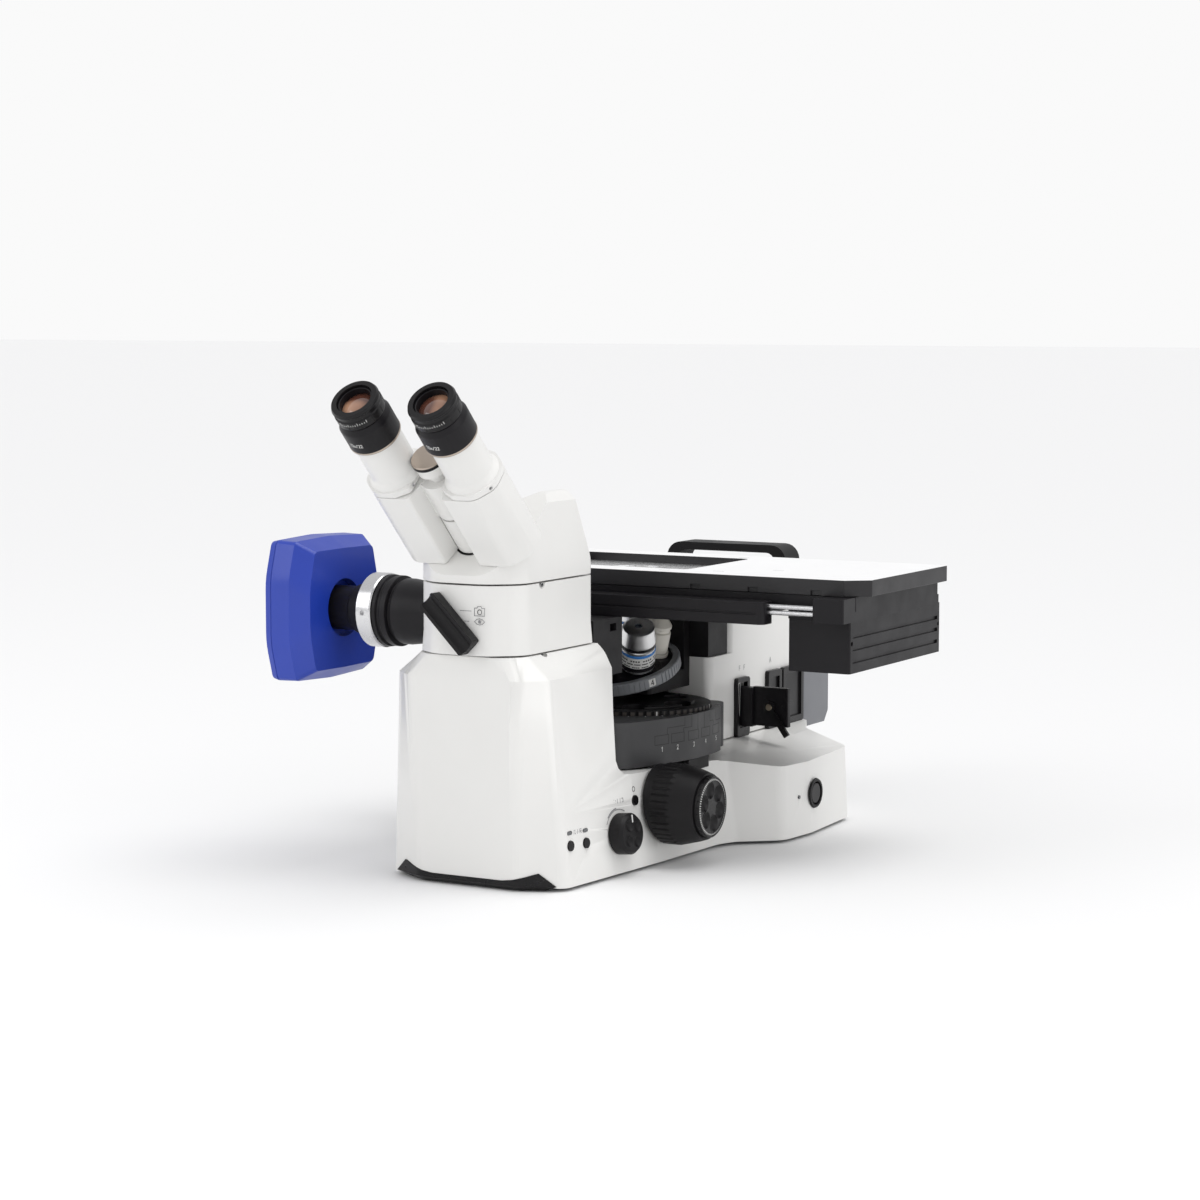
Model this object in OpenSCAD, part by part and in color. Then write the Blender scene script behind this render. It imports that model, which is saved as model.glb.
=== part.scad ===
// Inverted microscope: a low stand with a front tower, binocular tube, side camera, motor stage,
// focusing nosepiece and reflector turret. Millimetres, +Z up, +X to the user's right, +Y to the rear.
// The origin is the foot of the optical axis, on the underside of the base plate.

/* [Stand] */
// Height of the rubber feet below the base plate
foot_h = 2; // [1:0.5:4]
// Radius of a rubber foot
foot_r = 14; // [10:1:18]
// Thickness of the base plate
base_plate_t = 4; // [3:0.5:6]
// Height of the deck just behind the tower
deck_h = 76; // [72:1:80]
// Height of the eaves of the rear box
eave_h = 63; // [58:1:66]
// Height of the tower's shoulder crease
shoulder_h = 163; // [158:1:168]
// Height of the tower's top
tower_h = 180; // [178:0.5:182]
// Half width of the tower at its shoulder
shoulder_half = 69; // [66:1:72]
// Distance from the optical axis to the tower's front face at the foot
tower_front = 272; // [268:1:276]
// Half width of the rear box
rear_half = 138; // [130:1:142]
// Wall of the white housings
shell_wall = 3.5; // [2.5:0.5:5]

/* [Column] */
// Half width of the rear column
column_half = 54; // [52:1:56]
// Height of the column's top
column_h = 196; // [192:1:196.5]
// Distance from the optical axis to the column's front face
column_front = 36; // [34:1:38]
// Distance from the optical axis to the column's rear face
column_rear = 217; // [215:1:222]
// Depth of the grey rear housing
rear_housing_d = 56; // [48:1:64]
// Half width of the carry handle
handle_half = 60; // [58:1:64]
// Height of the carry handle's top
handle_h = 236; // [230:1:240]
// Thickness of the carry handle's bar
handle_t = 8; // [6:0.5:10]

/* [Head] */
// Half width of the light path piece and of the tube head
head_half = 47; // [46:1:50]
// Height of the light path piece
path_h = 54; // [52:0.5:55]
// Gap between two stacked housings
joint_gap = 1.4; // [1:0.2:2]
// Height of the tube head's peak above the base plate
peak_h = 306; // [300:1:310]
// Viewing angle of the eyepieces
view_angle = 45; // [45:0.5:46]
// Distance from the optical axis to the foot of the tubes' hinge axis
hinge_y = 257; // [255:1:259]
// Height of the foot of the tubes' hinge axis
hinge_z = 269; // [267:0.5:270]
// Half of the distance between the eyepieces
eye_half = 34; // [33.6:0.2:35]
// Radius of a prism housing
prism_r = 23.5; // [22:0.5:24]
// Length of a prism housing along the tube axis
prism_l = 75; // [72:1:78]
// Radius of the eyepiece tube
tube_r = 19; // [18:0.25:20]
// Radius of the eyepiece barrel
eyepiece_r = 21; // [20.5:0.25:22]
// Length of the eyepiece tube above its prism housing
tube_l = 45; // [43:0.5:47]
// Radius of the collars on the tubes' hinge
hinge_collar_r = 15; // [14:0.5:16]

/* [Camera port] */
// Height of the camera port's axis
port_z = 206; // [204:0.5:208]
// Distance from the optical axis to the camera port's axis
port_y = 227; // [224:1:230]
// Width of the square camera body
camera_w = 112; // [100:2:116]
// Depth of the camera body along the port's axis
camera_d = 36; // [30:1:40]
// Radius of the silver clamp ring
clamp_ring_r = 30; // [29:0.5:32]

/* [Stage] */
// Height of the underside of the fixed stage base
stage_z = 197; // [197:0.5:198]
// Thickness of the fixed stage base
stage_base_t = 11; // [10:0.5:11.5]
// Thickness of the middle plate
mid_plate_t = 12; // [11:0.5:12.5]
// Thickness of the top plate
top_plate_t = 13; // [12:0.5:14]
// Distance from the optical axis to the right end of the top plate
top_right = 253; // [245:1:260]
// Distance from the optical axis to the left end of the top plate
top_left = 148; // [140:1:150]
// Half depth of the stage plates
stage_half_d = 85; // [83:1:88]
// Width of the specimen opening
opening_w = 160; // [150:1:164]
// Depth of the specimen opening
opening_d = 116; // [108:1:120]
// Radius of the hole in the specimen insert
insert_hole_r = 16; // [12:1:20]
// Width of the drive box
drive_w = 54; // [48:1:56]
// Height of the drive box
drive_h = 50; // [44:1:52]
// Radius of a guide rod
rod_r = 2; // [1.5:0.25:2.5]

/* [Nosepiece] */
// Tilt of the turret's axis from the vertical
turret_tilt = 18; // [17:0.5:19]
// Distance from the turret's axis to an objective's seat
seat_r = 30; // [29:0.5:31]
// Height of the seat of the objective in use
seat_z = 161; // [159:0.5:162]
// Radius of the turret's grip ring
turret_r = 52; // [51:0.5:53]
// Thickness of the turret disc
turret_t = 13; // [12:0.5:14]
// Length of an objective from its seat to its tip
objective_l = 44; // [40:1:45]
// Number of objective positions
positions = 6; // [6:1:6]

/* [Reflector turret] */
// Radius of the reflector wheel
wheel_r = 64; // [60:1:66]
// Thickness of the wheel's rim
wheel_t = 5; // [4:0.5:5.5]
// Offset of the wheel's centre to the right of the optical axis
wheel_x = 20; // [18:1:22]
// Distance of the wheel's centre in front of the optical axis
wheel_y = 36; // [34:1:38]
// Height of the top of the reflector module
module_h = 114; // [110:1:115]

/* [Focus drive] */
// Distance of the focus shaft in front of the optical axis
focus_y = 111; // [109:1:113]
// Height of the focus shaft
focus_z = 48; // [46:0.5:50]
// Distance from the middle plane to the outer face of the fine knob
knob_reach = 133; // [130:1:136]
// Largest radius of the coarse knob
coarse_r = 33; // [31:0.5:34]
// Radius of the fine knob's face
fine_r = 25; // [24:0.5:26]
// Radius of the hollow coarse shaft
coarse_shaft_r = 9; // [8:0.5:10]
// Radius of the fine shaft inside it
fine_shaft_r = 5; // [4:0.5:6]
// Radial clearance of a shaft in its bore
run = 0.05; // [0.03:0.01:0.08]

/* [Controls] */
// Radius of the light knob
light_knob_r = 16.5; // [15:0.5:18]
// Height of the light knob's axis
light_knob_z = 32; // [31:0.5:34]
// Radius of a push button
button_r = 4; // [3:0.25:5]
// Radius of the power switch bezel
switch_r = 13; // [12:0.5:14]

/* [Hidden] */
$fn = 64;
fine_fn = 32;
free = 0.3;
deck_rear_h = deck_h - 6;
roof_ridge_h = deck_h - 2;
bottom_gap = 1;
tower_rear = 150;
path_z = tower_h + joint_gap;
head_z = path_z + path_h + joint_gap;
foot_gap = 6;
camera_port_r = 27;
plate_z = stage_z + stage_base_t + free;
top_z = plate_z + mid_plate_t + free;
turret_l = seat_r / sin(turret_tilt);
apex_z = seat_z - turret_l;
drive_x = 186;
plate_right = 244;
bar_front = 107;
bar_rear = stage_half_d + 2;
rod_y = 97;
light_knob_y = 176;
switch_y = 68;
switch_z = 34;
tick = 0.6;
// Where the push buttons and the status lights are on the right side, as [y, z]
button_places = [[-246, 33], [-224, 32], [-149.5, 55]];
light_places = [[-246, 43], [-224, 42]];
barrel_r = 26;
slide_z = 102;

function unit(v) = v / norm(v);
function xy(p) = [p[0], p[1]];
function mix(a, b, t) = a + (b - a) * t;

// Points of the arc that rounds corner b between a and c
function arc_corner(a, b, c, r, n) =
    let(u = unit(a - b), w = unit(c - b), half = acos(u * w) / 2,
        o = b + unit(u + w) * r / sin(half),
        s = b + u * r / tan(half) - o, e = b + w * r / tan(half) - o,
        a0 = atan2(s[1], s[0]), d = (atan2(e[1], e[0]) - a0 + 540) % 360 - 180)
    [for (i = [0:n]) o + r * [cos(a0 + d * i / n), sin(a0 + d * i / n)]];

// An outline of [x, y, radius] points with each corner rounded
function rounded(p, n = 4) = let(m = len(p))
    [for (i = [0:m - 1]) each p[i][2] > 0
        ? arc_corner(xy(p[(i + m - 1) % m]), xy(p[i]), xy(p[(i + 1) % m]), p[i][2], n)
        : [xy(p[i])]];

// The right half of an outline, from front to rear, with its mirror image
function both(p) = concat(p, [for (i = [len(p) - 1:-1:0]) [-p[i][0], p[i][1], p[i][2]]]);

// A closed solid through outlines of equal length, each at its own height
module loft(heights, outlines) {
    n = len(outlines[0]);
    m = len(heights);
    points = [for (i = [0:m - 1]) for (p = outlines[i]) [p[0], p[1], heights[i]]];
    sides = [for (i = [0:m - 2]) for (j = [0:n - 1]) let(k = (j + 1) % n)
        each [[i * n + j, (i + 1) * n + j, (i + 1) * n + k], [i * n + j, (i + 1) * n + k, i * n + k]]];
    polyhedron(points, concat([[for (j = [0:n - 1]) j]], sides, [[for (j = [n - 1:-1:0]) (m - 1) * n + j]]));
}

// A profile of [y, z] points carried across the middle plane
module across(w, p) {
    rotate([90, 0, 90]) linear_extrude(w, center = true) polygon(p);
}

// A profile of [x, z] points carried from y0 to y1
module along(y0, y1, p) {
    translate([0, y1, 0]) rotate([90, 0, 0]) linear_extrude(y1 - y0) polygon(p);
}

module plate(x0, x1, y0, y1, z0, h, r = 0) {
    translate([0, 0, z0]) linear_extrude(h)
        polygon(r > 0 ? rounded([[x0, y0, r], [x1, y0, r], [x1, y1, r], [x0, y1, r]])
            : [[x0, y0], [x1, y0], [x1, y1], [x0, y1]]);
}

// A turned part from [radius, height] points
module turned(p) {
    rotate_extrude() polygon(p);
}

module pair() {
    children();
    mirror([1, 0, 0]) children();
}

// Turns local +Z to point along +X or -X
module to_right() {
    rotate([0, 90, 0]) children();
}

// Half width of the stand's side at the foot, from the tower's corner to the rear flare
function foot_half(y) = mix(80, 91, (y + 255) / 132);

// Half width of the stand's side at any height below the shoulder
function side_half(y, z) = mix(foot_half(y), shoulder_half, z / shoulder_h);

// The stand's outline at height z, drawn in by the wall
function stand_outline(z, wall = 0) =
    let(t = min(z, shoulder_h) / shoulder_h, s = max(0, (z - shoulder_h) / (tower_h - shoulder_h)),
        side = mix(0, shoulder_half - head_half - 1, s), draft = z * 0.05 + wall)
    rounded(both([
        [mix(44, 50, t) - side * 0.4, -mix(tower_front, tower_front + 9, t) + wall + 3 * s, 22],
        [mix(80, shoulder_half, t) - wall - side, mix(-255, -262, t) + wall + 4 * s, 12],
        [mix(91, shoulder_half, t) - wall - side, -123, 0],
        [mix(96, shoulder_half, t) - wall - side, -28, 30],
        [mix(104, shoulder_half + 8, t) - wall - side, -10, 12],
        [rear_half - 2 - draft, 16, 16],
        [rear_half + 2 - draft, 60, 0],
        [rear_half - 4 - draft, 149 - wall, 10],
        [74 - wall, 184 - wall, 20],
        [60 - wall, column_rear - wall, 5]]));

// All that lies under the deck and the roof of the rear box
module under_deck(wall = 0) {
    across(2 * rear_half + 20, [[-310, -5], [-16, -5], [-16, deck_rear_h - wall],
        [-tower_rear, deck_h - wall], [-161, deck_h + 1.5 - wall], [-168, deck_h + 7 - wall],
        [-171, deck_h + 15 - wall], [-310, deck_h + 15 - wall]]);
    along(-17, column_rear + 10, [[-rear_half - 10, -5], [rear_half + 10, -5],
        [rear_half + 10, eave_h - 2 - wall], [rear_half - 4, eave_h - wall],
        [column_half + 2, roof_ridge_h - wall], [-column_half - 2, roof_ridge_h - wall],
        [-rear_half + 4, eave_h - wall], [-rear_half - 10, eave_h - 2 - wall]]);
}

module tower_plan(wall = 0) {
    top = wall > 0 ? tower_h - wall : tower_h + 5;
    translate([0, 0, -5]) linear_extrude(top + 5) polygon(rounded(both([[100, -310, 0], [100, -196 - wall, 0],
        [76, -170 - wall, 16], [54, -tower_rear - wall, 16]])));
}

module stand_body(wall = 0) {
    levels = [bottom_gap - wall, eave_h - 6, shoulder_h, wall > 0 ? tower_h + 1 : tower_h];
    intersection() {
        loft(levels, [for (z = levels) stand_outline(z, wall)]);
        union() {
            under_deck(wall);
            tower_plan(wall);
        }
    }
}

// Moves to a place on the right side wall, with +Z straight out of it
module on_side(y, z) {
    translate([side_half(y, z), y, z]) rotate([0, 0, -atan(11 / 132 * (1 - z / shoulder_h))])
        rotate([0, 90 - atan((foot_half(y) - shoulder_half) / shoulder_h), 0]) children();
}

// One mesh, so that the lofts and the cuts through them stay closed
module stand_cover() color("whitesmoke") resize([0, 0, 0]) difference() {
    stand_body();
    stand_body(shell_wall);
    translate([0, 0, deck_h - 20]) cylinder(r = 21, h = 30, $fn = 40);
    at_focus(-150) cylinder(r = coarse_shaft_r + 3, h = 300, $fn = 24);
    on_side(-light_knob_y, light_knob_z) cylinder(r = 5 + free, h = 20, center = true, $fn = 16);
    for (p = button_places) on_side(p[0], p[1]) {
        cylinder(r = button_r + free, h = 20, center = true, $fn = 24);
        translate([0, 0, -16]) cylinder(r = button_r + 3, h = 13, $fn = 12);
    }
    for (p = light_places) on_side(p[0], p[1]) translate([0, 0, -1.4]) light_oval(0.3, 4, 12);
    translate([rear_half - 4, 41, switch_z]) to_right() cylinder(r = 1.5 + free, h = 9, $fn = 12);
    translate([rear_half - 4, switch_y, switch_z]) to_right()
        cylinder(r = switch_r - 2, h = 20, center = true, $fn = 32);
    translate([0, column_rear, 42]) cube([92, 20, 40], center = true);
    pair() translate([head_half, -235, tower_h]) sphere(r = 4.5, $fn = 20);
    toe_space();
    translate([0, -port_y, tower_h - 10]) cylinder(r = barrel_r, h = 20, $fn = 40);
    plate(-46.3, 46.3, -tower_rear - 5, -tower_rear + 5, deck_h + 8, tower_h - deck_h - 18);
    plate(-46.3, 46.3, -tower_rear - 0.3, -tower_rear + 5, deck_h + 2, tower_h);
}

module base_plate() color("dimgray") difference() {
    linear_extrude(base_plate_t) polygon(stand_outline(0, shell_wall + 1.3));
    for (y = [-88:12:-40]) plate(-40, 40, y, y + 4, -1, base_plate_t + 2);
    for (y = [60:12:120]) pair() plate(50, 100, y, y + 4, -1, base_plate_t + 2);
}

module rubber_feet() color("black")
    for (p = [[60, -225], [112, 110]]) pair() translate([p[0], p[1], -foot_h])
        turned([[0, 0], [foot_r - 1, 0], [foot_r, 1], [foot_r, foot_h], [0, foot_h]]);

// The room for the toe: low in front, raised at each corner, slanted on the sides
module toe_space(gap = 0) intersection() {
    along(-320, -240, [[-100, -9], [100, -9], [100, 14.5 - gap], [68, 14.5 - gap], [62, 13.4 - gap],
        [52, 10 - gap], [42, 7.4 - gap], [32, foot_gap - gap], [-32, foot_gap - gap], [-42, 7.4 - gap],
        [-52, 10 - gap], [-62, 13.4 - gap], [-68, 14.5 - gap], [-100, 14.5 - gap]]);
    across(220, [[-320, -9], [-320, 20], [-269 - gap, 20], [-252 - gap, -9]]);
}

// The black toe round the foot of the tower, drawn in towards the floor
module front_toe() color("black") resize([0, 0, 0]) difference() {
    intersection() {
        levels = [-foot_h + 0.4, 2.4, 20];
        loft(levels, [stand_outline(0, 5), stand_outline(2.4, -0.7), stand_outline(20, -0.7)]);
        toe_space(free);
    }
    translate([0, 0, -free]) linear_extrude(30) polygon(stand_outline(0, shell_wall + 1));
}

module tower_back() color("dimgray") difference() {
    plate(-46, 46, -tower_rear, -tower_rear + 4, deck_h + 2, tower_h - deck_h - 3);
    translate([0, -tower_rear, 125]) rotate([90, 0, 0]) cylinder(r = 18, h = 20, center = true);
}

// The outline shared by the light path piece and the tube head
function head_outline(grow = 0, r = 30) = rounded(both([
    [22, -tower_front - 11 - grow, r], [head_half + grow, -tower_front + 8, r - 6],
    [head_half + grow, -tower_rear - 3 + min(grow, 0), 8]]), 6);

module light_path_piece() color("whitesmoke") difference() {
    union() {
        translate([0, 0, path_z]) linear_extrude(path_h) polygon(head_outline());
        loft([path_z, path_z + 16], [head_outline(1.5), head_outline()]);
        translate([0, -port_y, tower_h]) cylinder(r = 38, h = joint_gap + 1);
    }
    translate([0, 0, path_z + shell_wall]) linear_extrude(path_h - 2 * shell_wall)
        polygon(head_outline(-shell_wall, 26));
    translate([0, -port_y, tower_h - 1]) cylinder(r = 30, h = path_h + 4);
    translate([-head_half, -port_y, port_z]) to_right() cylinder(r = camera_port_r - 3, h = 40, center = true);
    translate([-4, -tower_front, port_z]) rotate([90, 0, 0]) cylinder(r = 4, h = 60, center = true);
    pair() translate([head_half, -235, path_z + path_h]) sphere(r = 4.5);
}

// Moves to the foot of the tubes' hinge, with +Z towards the eye
module at_tubes() {
    translate([0, -hinge_y, hinge_z]) rotate([view_angle, 0, 0]) children();
}

module tube_head() color("whitesmoke") difference() {
    union() {
        translate([0, -port_y, head_z - joint_gap]) cylinder(r = 38, h = joint_gap + 1);
        head_block();
    }
    at_tubes() translate([0, 0, -12]) cylinder(r = 8, h = 20);
    plate(-38, 38, -248, -172, head_z + 4, 22, 12);
    translate([0, -port_y, head_z - 5]) cylinder(r = 26, h = 24);
    at_tubes() pair() translate([eye_half, 0, -20]) cylinder(r = 12, h = 30);
}

module head_block() {
    intersection() {
        translate([0, 0, head_z]) linear_extrude(peak_h - head_z) polygon(head_outline());
        across(120, rounded([[-300, head_z, 0], [-300, hinge_z - 43, 0], [-hinge_y + 22, hinge_z + 22, 40],
            [-217, peak_h + 2, 9], [-188, peak_h + 1, 9], [-160, 252, 30], [-153, head_z, 0]], 6));
        along(-300, -140, rounded([[-60, head_z, 0], [60, head_z, 0], [60, 280, 0],
            [40, peak_h + 1, 6], [14, peak_h - 10, 40], [-14, peak_h - 10, 40],
            [-40, peak_h + 1, 6], [-60, 280, 0]], 6));
    }
}

// A pull rod that switches the light between the eyepieces and the camera
module selector() color("black") translate([-4, -tower_front - 12.6, port_z]) {
    rotate([90, 0, 0]) rotate([0, 0, -45]) difference() {
        translate([-26, -8.5, 0]) linear_extrude(10) polygon(rounded([
            [0, 0, 2], [52, 0, 2], [52, 17, 2], [0, 17, 2]]));
        translate([0, 0, 14]) to_right() cylinder(r = 7, h = 60, center = true);
    }
    rotate([-90, 0, 0]) cylinder(r = 4 - run, h = 44);
    translate([4, tower_front + 12.6 - port_y, 0]) difference() {
        cube([32, 34, 32], center = true);
        rotate([45, 0, 90]) translate([-20, -20, 0]) cube([40, 40, 40]);
    }
}

// The light's way through the stand: two prisms in the foot and the lens barrel in the tower
module light_train() color("lightsteelblue") {
    across(30, [[-17, base_plate_t], [17, base_plate_t], [17, 41], [-17, 7]]);
    translate([0, -port_y, 0]) across(30, [[-17, base_plate_t], [17, base_plate_t], [17, 7], [-17, 41]]);
    translate([0, -port_y, 110]) difference() {
        turned([[0, 0], [barrel_r - 2, 0], [barrel_r - 2, 58], [barrel_r + 6, 58],
            [barrel_r + 6, tower_h - shell_wall - 110], [0, tower_h - shell_wall - 110]]);
        translate([0, 0, 8]) cylinder(r = barrel_r - 6, h = 80);
        translate([0, 0, -1]) cylinder(r = barrel_r - 9, h = 12);
    }
    translate([0, -port_y, 118]) rotate_extrude() intersection() {
        polygon([[0, 0], [barrel_r - 6, 0], [barrel_r - 6, 12], [0, 12]]);
        translate([0, -38]) circle(r = 46);
    }
}

module clamp_screws() color("silver") for (z = [tower_h - 1.4, path_z + path_h - 1.4])
    pair() translate([head_half - 2.8, -235, z]) to_right() difference() {
        cylinder(r = 1.8, h = 2.8);
        translate([0, 0, 1]) cylinder(r = 1, h = 3, $fn = 6);
    }

// Moves to the camera port's axis, with +Z away from the stand to the left
module at_port(x) {
    translate([-x, -port_y, port_z]) rotate([0, -90, 0]) children();
}

module port_adapter() color("black") at_port(head_half - 6) difference() {
    turned([[0, 0], [23.5, 0], [23.5, 10], [24.5, 20], [26.5, 36], [26.5, 42], [25, 43], [25, 45],
        [28.5, 46], [28.5, 51], [27, 52], [27, 54], [29, 55], [29, 58], [24, 58], [24, 66], [0, 66]]);
    translate([0, 0, -1]) cylinder(r = 17, h = 80);
}

module clamp_ring() color("silver") at_port(head_half + 53) difference() {
    turned([[24 + run, 0], [clamp_ring_r - 1, 0], [clamp_ring_r, 1], [clamp_ring_r, 13],
        [clamp_ring_r - 2, 15], [17, 15], [17, 8], [24 + run, 8]]);
    translate([0, 0, 7]) rotate([90, 0, 0]) translate([0, 0, clamp_ring_r - 3]) cylinder(r = 2, h = 5);
}

module camera_neck() color("black") at_port(head_half + 68.3) difference() {
    turned([[0, 0], [20, 0], [20, 12], [18, 14], [18, 36], [0, 36]]);
    translate([0, 0, -1]) cylinder(r = 14, h = 40);
    translate([0, 0, 8]) rotate([45, 0, 0]) rotate([0, 90, 0]) translate([0, 0, 16]) cylinder(r = 1.6, h = 8);
}

function camera_outline(w, bulge) = let(h = w / 2, b = bulge)
    rounded([[-h, -h + 7, 5], [-h + 30, -h - b, 60], [h - 30, -h - b, 60], [h, -h + 7, 5],
        [h + b, 0, 120], [h, h - 7, 5], [h - 30, h + b, 60], [-h + 30, h + b, 60], [-h, h - 7, 5],
        [-h - b, 0, 120]], 3);

module camera_body() color("royalblue") at_port(head_half + 101) {
    difference() {
        loft([-4, 10, camera_d - 9], [camera_outline(camera_w - 16, 0.5),
            camera_outline(camera_w, 2), camera_outline(camera_w + 1, 2)]);
        translate([0, 0, -5]) cylinder(r = 23.6, h = 9);
        translate([0, 0, -5]) cylinder(r = 18 + run, h = 24);
    }
    difference() {
        translate([0, 0, camera_d - 9]) loft([0, 1, 6, 8], [camera_outline(camera_w - 1, 2),
            camera_outline(camera_w + 1, 2), camera_outline(camera_w - 1, 2), camera_outline(camera_w - 8, 1)]);
        for (y = [-16, 0, 16]) translate([-30, y, camera_d]) cube([12, 8, 16], center = true);
    }
}

module hinge_post() color("whitesmoke") at_tubes() union() {
    translate([0, 0, -11]) cylinder(r = 8 - run, h = 11);
    cylinder(r = hinge_collar_r - 7, h = 92);
    translate([0, 0, 83.5]) cylinder(r = 12.9, h = 8.5);
}

module hinge_cap() color("tan") at_tubes() translate([0, 0, 92])
    turned([[0, 0], [13.5, 0], [14, 0.6], [14, 3.4], [13.2, 4.2], [0, 4.2]]);

// A prism housing that swings on the hinge post by a collar at height z0
module prism_housing(z0) difference() {
    union() {
        translate([eye_half, -3, 0.5]) linear_extrude(prism_l) polygon(rounded([
            [-24, -4, 0], [-19, -prism_r, 3], [10, -prism_r, 14], [prism_r, -10, 14],
            [prism_r, 10, 14], [10, prism_r, 14], [-16, prism_r, 6], [-24, 10, 0]], 5));
        intersection() {
            translate([0, 0, z0]) hull() {
                cylinder(r = 10.5, h = 36, $fn = fine_fn);
                translate([eye_half, -3, 0]) cylinder(r = 10.5, h = 36, $fn = fine_fn);
            }
            translate([0, -40, 0]) cube([60, 80, 100]);
        }
        translate([0, 0, z0]) cylinder(r = hinge_collar_r, h = 36);
    }
    translate([0, 0, z0 < 20 ? 37 + free : 0])
        cylinder(r = hinge_collar_r + free, h = z0 < 20 ? 50 : 39 - free);
    translate([0, 0, -1]) cylinder(r = hinge_collar_r - 7 + run, h = 100);
    translate([eye_half, -3, -1]) cylinder(r = 14, h = prism_l - 6);
    translate([eye_half, -3, prism_l - 10]) cylinder(r = 15 + run, h = 12);
}

module right_prism() color("whitesmoke") at_tubes() prism_housing(1);

module left_prism() color("whitesmoke") at_tubes() mirror([1, 0, 0]) prism_housing(39);

// Moves to the foot of the right eyepiece tube
module at_eye() {
    at_tubes() translate([eye_half, -3, prism_l + 0.5]) children();
}

// The flanged tube that holds an eyepiece, with its two clamp screws
module eye_tube() at_eye() difference() {
    union() {
        translate([0, 0, -9]) cylinder(r = 15, h = 10);
        translate([0, 0, 0.8]) linear_extrude(5) polygon(rounded([[-19.5, -17, 4], [-8, -prism_r, 10],
            [10, -prism_r, 14], [prism_r, -10, 14], [prism_r, 10, 14], [10, prism_r, 14],
            [-12, prism_r, 10], [-19.5, 12, 5]], 5));
        turned([[0, 0.5], [15, 0.5], [15, 0.8], [tube_r + 3, 5.7], [tube_r + 1, 9], [tube_r, 12],
            [tube_r, tube_l - 0.3], [0, tube_l - 0.3]]);
    }
    translate([0, 0, -10]) cylinder(r = 13, h = 80);
    translate([0, 0, tube_l - 21]) cylinder(r = 15, h = 40);
    for (a = [-150, -30]) rotate([0, 0, a]) translate([20, 0, 3]) to_right() cylinder(r = 1.6, h = 6);
}

module right_tube() color("whitesmoke") eye_tube();
module left_tube() color("whitesmoke") mirror([1, 0, 0]) eye_tube();

// The black eyepiece barrel: collar, recess and flared body, on a sleeve in the tube
module eyepiece() at_eye() translate([0, 0, tube_l]) difference() {
    turned([[0, -20], [15 - run, -20], [15 - run, 0], [eyepiece_r - 0.5, 0], [eyepiece_r, 1.5],
        [eyepiece_r, 20], [18.5, 25], [16, 25], [16, 32], [14, 32], [14, 38.5], [0, 38.5]]);
    translate([0, 0, -21]) cylinder(r = 11, h = 46);
    translate([0, 0, 24]) cylinder(r = 12.5, h = 20);
}

module eye_lens() at_eye() translate([0, 0, tube_l]) rotate_extrude() intersection() {
    polygon([[0, 24], [12.5, 24], [12.5, 40], [0, 40]]);
    translate([0, 8]) circle(r = 28);
}

// The ring that focuses one eyepiece, with the rubber rim round the lens
module diopter() at_eye() translate([0, 0, tube_l]) difference() {
    turned([[14 + free, 33], [16 + free, 33], [16 + free, 26], [19.2, 26], [19.5, 27], [19.5, 33],
        [18.6, 34], [18.6, 37], [19.5, 38], [18.4, 40.5], [14 + free, 40.5]]);
    for (a = [0:30:330]) rotate([0, 0, a]) translate([19.9, 0, 29.5]) cube([1.4, 1.2, 5], center = true);
}

module right_eyepiece() color("dimgray") eyepiece();
module left_eyepiece() color("dimgray") mirror([1, 0, 0]) eyepiece();
module right_lens() color("peru") eye_lens();
module left_lens() color("peru") mirror([1, 0, 0]) eye_lens();
module right_diopter() color("black") diopter();
module left_diopter() color("black") mirror([1, 0, 0]) diopter();

module column_cover() color("whitesmoke") difference() {
    union() {
        plate(-column_half, column_half, column_front, column_rear, deck_h - 1, 149 - deck_h + 1, 8);
        plate(-column_half, column_half, column_front + 36, column_rear, deck_h, column_h - deck_h, 8);
    }
    plate(-column_half + shell_wall, column_half - shell_wall, column_front + shell_wall,
        column_rear - shell_wall, deck_h - 5, 149 - deck_h - shell_wall, 5);
    plate(-column_half + shell_wall, column_half - shell_wall, column_front + 36 + shell_wall,
        column_rear - shell_wall, deck_h - 5, column_h - deck_h + 5 - shell_wall, 5);
    for (f = slide_places) translate([column_half, f[0] + f[1] / 2, 101]) cube([20, f[1] - 10, 40], center = true);
    translate([0, column_rear, slide_z]) rotate([90, 0, 0]) cylinder(r = 24, h = 20, center = true);
    translate([0, column_front, slide_z]) rotate([90, 0, 0]) cylinder(r = 16, h = 20, center = true);
}

// Front edge and width of each slide's frame on the column
slide_places = [[81, 24], [142, 27], [172, 42]];

module slide_frames() color("black") for (f = slide_places)
    translate([column_half, f[0], 74]) difference() {
        translate([0, f[1] / 2, 26]) to_right() linear_extrude(4) polygon(rounded([
            [-26, -f[1] / 2, 3], [26, -f[1] / 2, 3], [26, f[1] / 2, 3], [-26, f[1] / 2, 3]]));
        if (f[0] < 100) translate([-1, 5, 8]) cube([8, 14, 40]);
        else translate([2, 5, 6]) cube([8, f[1] - 10, 40]);
    }

// The slide that carries the aperture: a body in the column and a square plate outside it
module aperture_slide() color("black") difference() {
    union() {
        plate(-18, column_half + 15, 87, 97, 84, 34);
        plate(column_half + 14, column_half + 48, 90, 96, 85, 34, 1);
    }
    translate([column_half + 31, 92, 102]) rotate([90, 0, 0]) cylinder(r = 3 + run, h = 30, center = true);
    translate([0, 92, slide_z]) rotate([90, 0, 0]) cylinder(r = 10, h = 30, center = true);
}

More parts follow.
